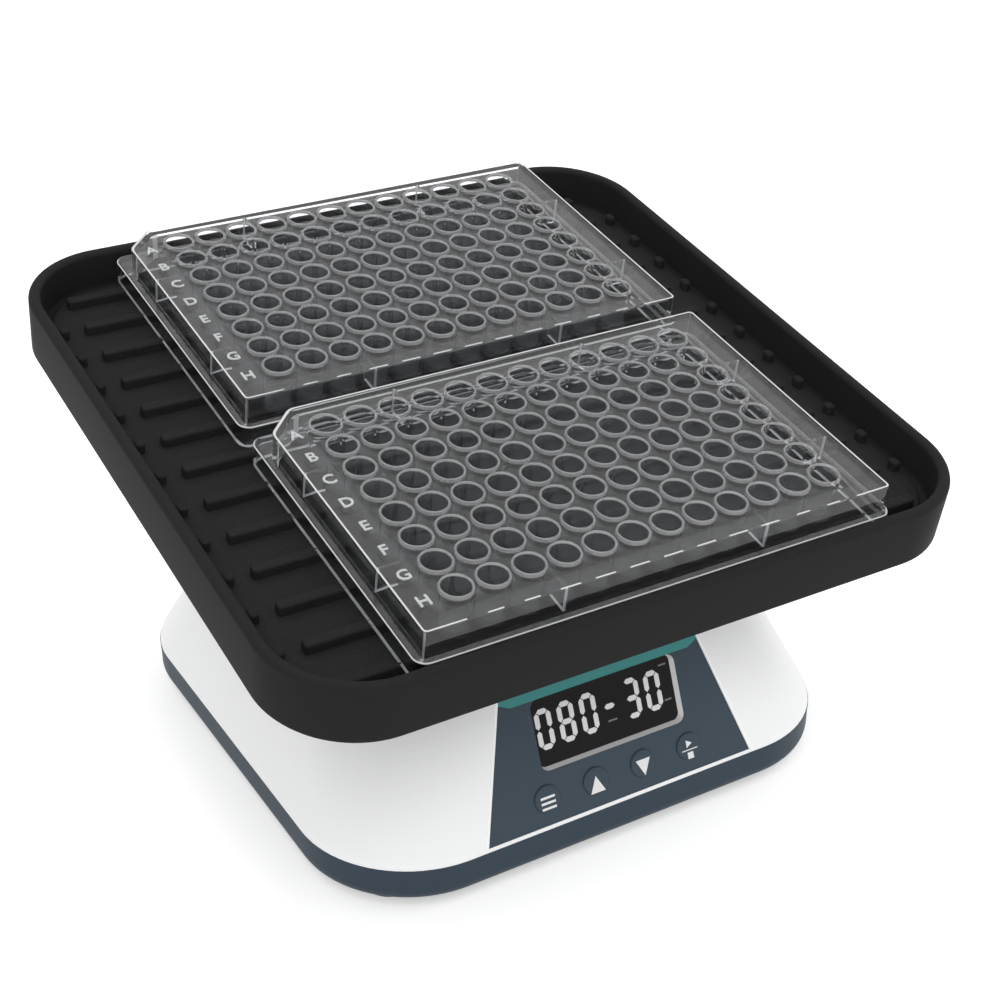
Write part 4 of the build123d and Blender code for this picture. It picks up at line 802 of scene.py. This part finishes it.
def make_boot():
    """Corrugated boot: a closed profile up the outside of the folds and cuff, and down their inside."""
    outer = []
    inner = []
    for fold in range(BOOT_FOLDS):
        level = FOLD_TOP_Z - FOLD_PITCH * fold
        outer += [(BOOT_WAIST_R, level - FOLD_PITCH * 0.3), (BOOT_R, level - FOLD_PITCH * 0.8)]
        inner += [(BOOT_WAIST_R - BOOT_WALL, level - FOLD_PITCH * 0.4),
                  (BOOT_R - BOOT_WALL, level - FOLD_PITCH * 0.8)]
    lip = FOLD_TOP_Z - FOLD_PITCH * BOOT_FOLDS + 0.5 * MM
    start = (BOOT_R - BOOT_WALL / 2, lip)
    cuff_out = BOOT_CUFF_R + BOOT_WALL
    path = [start, (BOOT_R, lip)] + outer[::-1]
    path += [(cuff_out, FOLD_TOP_Z), (cuff_out, BOOT_TOP_Z), (BOOT_CUFF_R, BOOT_TOP_Z)]
    path += [(BOOT_CUFF_R, FLANGE_LOW_Z), (BOOT_WAIST_R - BOOT_WALL, FLANGE_LOW_Z)] + inner
    path += [(BOOT_R - BOOT_WALL, lip), start]
    radii = [0.3 * MM] + [0.9 * MM] * len(outer) + [0.8 * MM, 0.3 * MM, 0.3 * MM, 0.05 * MM, 0.05 * MM]
    radii += [0.5 * MM] * len(inner) + [0.3 * MM]
    points, faces = turned(rounded_profile(path, radii, 5), steps=96, closed=True, caps=(False, False))
    boot = new_piece("folded_boot", deck_point(points), faces, sharp=60)
    stands_for(boot, "platform", "boot_rubber", MATERIALS["boot_rubber"], "rubber_boot")


# Keys and display

KEY_PITCH = 13.9 * MM
KEY_Y = 7.0 * MM
KEY_R = 3.52 * MM
KEYS = ("menu_key", "up_key", "down_key", "start_key")
KEY_BODIES = ("menu_button", "up_button", "down_button", "start_button")
KEY_TOP_Z = 0.25 * MM            # above the sloping front's plane
FLANGE_TOP_Z = -1.87 * MM
FLANGE_Z = -2.67 * MM
FLANGE_R = 4.2 * MM
KEY_CROWN_R = 2.0 * MM           # the crown's last ring, inside which a cap closes it
PRINT_T = 0.03 * MM
LEGEND_DROP = 0.9 * MM           # legends' centre below the keys' centre
DISPLAY_Y = 22.8 * MM
DISPLAY_FRONT_Z = -1.45 * MM
DIGIT_HALF_W = 1.65 * MM         # between the centre lines of a digit's upright strokes
DIGIT_HALF_H = 4.45 * MM
STROKE_W = 1.34 * MM
STROKE_GAP = 0.28 * MM
DIGIT_Y = 0.55 * MM              # digits' centre above the display's
UNIT_MARK_H = 0.4 * MM
READOUT = ((-17.2, "0"), (-10.85, "8"), (-4.5, "0"), (1.5, "-"), (8.2, "3"), (14.5, "0"))
UNIT_MARKS = ((1.7, -3.1, 2.6), (18.3, 6.2, 2.2), (18.3, -2.9, 2.0))     # place and length of each
PANEL_FRONT_Z = -0.25 * MM
PANEL_FOOT_Y = 0.4 * MM
PANEL_HEAD_Y = 37.6 * MM
PANEL_FOOT_W = 77.2 * MM
PANEL_TAPER = 0.594              # width lost per unit up the slope
STRIPE_T = 0.8 * MM
STRIPE_FOOTS = (32.5 * MM, 31.45 * MM)     # of the inlay, and of the print over it
STRIPE_CUT = (3.5 * MM, 1.5 * MM)          # its lower corners' slant, across and up
RIDGE_PROFILE = np.array([(0.05, -0.1), (0.22, 0.16), (0.72, 0.16), (0.95, -0.1)]) * MM
DISPLAY_HALF = (20.5 * MM, 8.55 * MM)
DISPLAY_CORNER = 1.8 * MM
BEZEL_RIM = 0.95 * MM
BEZEL_WIDE = 0.78 * MM           # chamfer's width at the right and below
BEZEL_SLIM = 0.12 * MM           # at the left and above
STROKES = {"0": "abcdef", "3": "abcdg", "8": "abcdefg", "-": "g"}


def thin_print(name, outlines, height, body, slot, material):
    """Flat shapes on the sloping front as one thin layer."""
    points, faces = merged([prism(outline, height, height + PRINT_T) for outline in outlines])
    stands_for(new_piece(name, front_point(points), faces), body, slot, material)


def stroke_outline(x, y, length, upright):
    """Six-sided stroke of a display digit, pointed at both ends."""
    long = length / 2
    half = STROKE_W / 2
    blunt = long - half
    outline = np.array([(-long, 0), (-blunt, -half), (blunt, -half),
                        (long, 0), (blunt, half), (-blunt, half)])
    if upright:
        outline = np.stack([-outline[:, 1], outline[:, 0]], -1)
    return outline + [x, y]


def digit_outlines(x, character):
    """Strokes of one digit: a to g run clockwise from the top, with g across the middle."""
    wide = 2 * DIGIT_HALF_W - STROKE_GAP
    tall = DIGIT_HALF_H - STROKE_GAP
    y = DISPLAY_Y + DIGIT_Y
    places = {"a": (0, 1, wide, False), "b": (1, 0.5, tall, True), "c": (1, -0.5, tall, True),
              "d": (0, -1, wide, False), "e": (-1, -0.5, tall, True), "f": (-1, 0.5, tall, True),
              "g": (0, 0, wide, False)}
    outlines = []
    for stroke in STROKES[character]:
        side, level, length, upright = places[stroke]
        outlines.append(stroke_outline(x + side * DIGIT_HALF_W, y + level * DIGIT_HALF_H, length, upright))
    return outlines


def make_display():
    """Readout of lit strokes on the display's glass, with plain marks for its units."""
    outlines = []
    for x, character in READOUT:
        outlines += digit_outlines(x * MM, character)
    marks = [bar_outline(x * MM, DISPLAY_Y + y * MM, width * MM, UNIT_MARK_H) for x, y, width in UNIT_MARKS]
    level = DISPLAY_FRONT_Z + FILM_LIFT
    thin_print("display_readout", outlines, level, "base", "display_window", DISPLAY_WHITE)
    thin_print("display_units", marks, level, "base", "display_window", DISPLAY_GREY)


def make_bezel():
    """Display's frame: a land in the panel's dark colour, painted shade for the bezel's dark reflection at
    the left and above, and a bright chamfer that widens to the right and below. Four rounded outlines, out at
    the back, out and in at the front, and in at the glass, joined in a ring."""
    shift = (BEZEL_WIDE - BEZEL_SLIM) / 2
    spread = (BEZEL_WIDE + BEZEL_SLIM) / 2
    outlines = [(BEZEL_RIM, 0.0, DISPLAY_FRONT_Z), (BEZEL_RIM, 0.0, PANEL_FRONT_Z),
                (spread, shift, PANEL_FRONT_Z), (0.0, 0.0, DISPLAY_FRONT_Z)]
    rings = []
    for grow, aside, height in outlines:
        half_x, half_y = (half + grow for half in DISPLAY_HALF)
        loop = square_loops(half_x, half_y, DISPLAY_CORNER + grow, [0.0], 8)[0] + [aside, DISPLAY_Y - aside]
        rings.append(np.concatenate([loop, np.full((len(loop), 1), height)], -1))
    quads = grid_quads(4, len(rings[0]), wrap_rows=True, wrap_columns=True)
    # the land takes the panel's colour: painted shade where the bezel reads dark at the left and above
    land = np.repeat([0, 1, 0, 0], len(rings[0]))
    frame_piece = new_piece("display_frame", front_point(np.concatenate(rings)), quads, 25, land)
    stands_for(frame_piece, "base", "bezel", [MATERIALS["bezel"], MATERIALS["panel"]], "lcd_bezel")


def panel_half_width(y):
    """Half the panel's width at a height up the slope."""
    return (PANEL_FOOT_W - PANEL_TAPER * (y - PANEL_FOOT_Y)) / 2


def make_stripe():
    """Coloured stripe across the panel's head: an inlay, and its print, which comes down to the display."""
    bodies = []
    for foot, low, high in ((STRIPE_FOOTS[0], PANEL_FRONT_Z - STRIPE_T, PANEL_FRONT_Z),
                            (STRIPE_FOOTS[1], PANEL_FRONT_Z, PANEL_FRONT_Z + PRINT_T)):
        bend = foot + STRIPE_CUT[1]
        right = np.array([(panel_half_width(foot) - STRIPE_CUT[0], foot), (panel_half_width(bend), bend),
                          (panel_half_width(PANEL_HEAD_Y), PANEL_HEAD_Y)])
        left = right[::-1] * [-1, 1]
        bodies.append(prism(np.concatenate([right, left]), low, high))
    points, faces = merged(bodies)
    stripe = new_piece("teal_stripe", front_point(points), faces)
    stands_for(stripe, "base", "accent", MATERIALS["accent"], "accent_stripe")


def make_ridges():
    """Low ridge of the shell along each side of the panel: a trapezium carried up the panel's edge, in a
    white a little lighter than the shell's as a painted highlight, with a strong coat for its reflection.
    """
    across, out = RIDGE_PROFILE.T
    bodies = []
    for side in (-1, 1):
        ends = []
        for y in (PANEL_FOOT_Y, PANEL_HEAD_Y):
            x = side * (panel_half_width(y) + across)
            ends.append(np.stack([x, np.full(len(out), y), out], -1))
        faces = grid_quads(2, len(out), wrap_columns=True).tolist() + [[3, 2, 1, 0], [4, 5, 6, 7]]
        if side < 0:
            faces = [face[::-1] for face in faces]
        bodies.append((np.concatenate(ends), faces))
    points, faces = merged(bodies)
    ridges = new_piece("panel_ridges", front_point(points), faces)
    stands_for(ridges, "base", "shell", RIDGE_WHITE_WITH_HIGHLIGHT)


def key_legend(name, x, y):
    """Plain symbol on a key: bars, an arrow up or down, or start over stop."""
    if name == "menu_key":
        return [bar_outline(x, y + step * 1.35 * MM, 4.0 * MM, 0.6 * MM) for step in (-1, 0, 1)]
    if name == "start_key":
        start = np.array([(-0.8, 0.6), (0.9, 1.6), (-0.8, 2.6)]) * MM + [x, y]
        stop = bar_outline(x, y - 1.5 * MM, 1.7 * MM, 1.7 * MM)
        return [start, bar_outline(x, y, 4.6 * MM, 0.25 * MM), stop]
    arrow = np.array([(-2.1, -2.0), (2.1, -2.0), (0, 2.2)]) * MM
    if name == "down_key":
        arrow = -arrow
    return [arrow + [x, y]]


def make_keys():
    """Round keys with a flat crown and soft shoulder, each with its flange behind the film, and their
    legends."""
    profile = [(0.02 * MM, FLANGE_Z), (FLANGE_R, FLANGE_Z), (FLANGE_R, FLANGE_TOP_Z), (KEY_R, FLANGE_TOP_Z),
               (KEY_R, KEY_TOP_Z), (KEY_CROWN_R, KEY_TOP_Z)]
    profile = rounded_profile(profile, [0.1 * MM, 0.1 * MM, 0.02 * MM, 0.42 * MM], 5)
    for index, (name, body) in enumerate(zip(KEYS, KEY_BODIES)):
        x = KEY_PITCH * (index - (len(KEYS) - 1) / 2)
        points, faces = turned(profile, (x, KEY_Y), steps=64)
        cap = new_piece(name + "_cap", front_point(points), faces)
        stands_for(cap, body, "key", MATERIALS["key"], name)
        legend = key_legend(name, x, KEY_Y - LEGEND_DROP)
        thin_print(name + "_legend", legend, KEY_TOP_Z + FILM_LIFT, body, "key", PRINT_WHITE)


# Camera, light and floor

CAMERA_PLACE = (-203.07 * MM, -358.99 * MM, 286.45 * MM)
CAMERA_AXES = ((0.86095676, -0.50866844, -0.00314379),      # to the right
               (0.24481845, 0.40893900, 0.87910911),        # up
               (-0.44588944, -0.75764458, 0.47661021))      # backwards
FOCAL_PIXELS = 1771.145
FRAME_PIXELS = 1000
SENSOR = 36.0
WORLD_LIGHT = 0.68
BACKDROP_LIGHT = 1.0
FLOOR_GLOW = 0.39                # makes the floor read white where nothing shades it
FLOOR_HALF = 6.0
LAMP_AIM = (0, 0, 0.06)
LAMPS = (("key light", (-0.72, -0.98, 1.3), 1.1, 9.6),       # place, size and power of each
         ("fill light", (1.1, -0.5, 0.9), 1.2, 4.6),
         ("top light", (0.1, 0.5, 1.6), 1.4, 6.4))


def set_camera():
    """The photograph's view, from the fit to the plates' wells and the housing."""
    data = bpy.data.cameras.new("camera")
    data.sensor_width = SENSOR
    data.sensor_height = SENSOR
    data.sensor_fit = "HORIZONTAL"
    data.lens = SENSOR * FOCAL_PIXELS / FRAME_PIXELS
    data.clip_start = 10 * MM
    camera = bpy.data.objects.new("camera", data)
    bpy.context.scene.collection.objects.link(camera)
    turn = Matrix(CAMERA_AXES).transposed().to_4x4()
    camera.matrix_world = Matrix.Translation(CAMERA_PLACE) @ turn
    bpy.context.scene.camera = camera


def area_light(name, place, size, power):
    """Soft square lamp that faces the object."""
    data = bpy.data.lights.new(name, "AREA")
    data.shape = "SQUARE"
    data.size = size
    data.energy = power
    lamp = bpy.data.objects.new(name, data)
    bpy.context.scene.collection.objects.link(lamp)
    back = np.array(place) - np.array(LAMP_AIM)
    back /= np.linalg.norm(back)
    side = np.cross((0, 0, 1), back)
    side /= np.linalg.norm(side)
    turn = Matrix(np.stack([side, np.cross(back, side), back]).tolist()).transposed().to_4x4()
    lamp.matrix_world = Matrix.Translation(place) @ turn
    lamp.visible_glossy = False
    lamp.visible_transmission = False


def seen_rays(tree):
    """One for the rays that see a surface straight, in a mirror or through glass."""
    path = tree.nodes.new("ShaderNodeLightPath")
    direct = math_node(tree, "ADD", path.outputs["Is Camera Ray"], path.outputs["Is Glossy Ray"], clamp=True)
    return math_node(tree, "ADD", direct, path.outputs["Is Transmission Ray"], clamp=True)


def set_world():
    """Even pale light all round; what the camera, glass and metal see of it is the white backdrop."""
    world = bpy.data.worlds.new("studio")
    world.use_nodes = True
    bpy.context.scene.world = world
    tree = world.node_tree
    background = tree.nodes["Background"]
    background.inputs["Color"].default_value = (1.0, 1.0, 1.0, 1)
    strength = tree.nodes.new("ShaderNodeMix")
    strength.inputs["A"].default_value = WORLD_LIGHT
    strength.inputs["B"].default_value = BACKDROP_LIGHT
    tree.links.new(seen_rays(tree), strength.inputs["Factor"])
    tree.links.new(strength.outputs["Result"], background.inputs["Strength"])


def make_floor():
    """Pale floor that keeps the object's shadow."""
    corners = np.array([(-1, -1, 0), (1, -1, 0), (1, 1, 0), (-1, 1, 0)])
    floor = new_piece("floor", corners * FLOOR_HALF, [(0, 1, 2, 3)])
    material, tree, shader, vector = new_material("floor")
    shader.inputs["Base Color"].default_value = (0.90, 0.90, 0.90, 1)
    shader.inputs["Roughness"].default_value = 0.9
    shader.inputs["Specular IOR Level"].default_value = 0.0
    shader.inputs["Emission Color"].default_value = (1, 1, 1, 1)
    glow = math_node(tree, "MULTIPLY", seen_rays(tree), FLOOR_GLOW)
    tree.links.new(glow, shader.inputs["Emission Strength"])
    floor.data.materials.append(material)


def set_stage():
    """Camera, surroundings, floor, lamps and how light is traced."""
    set_camera()
    set_world()
    make_floor()
    for lamp in LAMPS:
        area_light(*lamp)
    settings = bpy.context.scene
    settings.view_settings.view_transform = "Standard"
    settings.cycles.max_bounces = 24
    settings.cycles.transmission_bounces = 24
    settings.cycles.glossy_bounces = 8


dress_frame()
make_tray()
make_mat()
make_plates()
make_pan_edge()
make_boot()
make_display()
make_bezel()
make_stripe()
make_ridges()
make_keys()
set_stage()
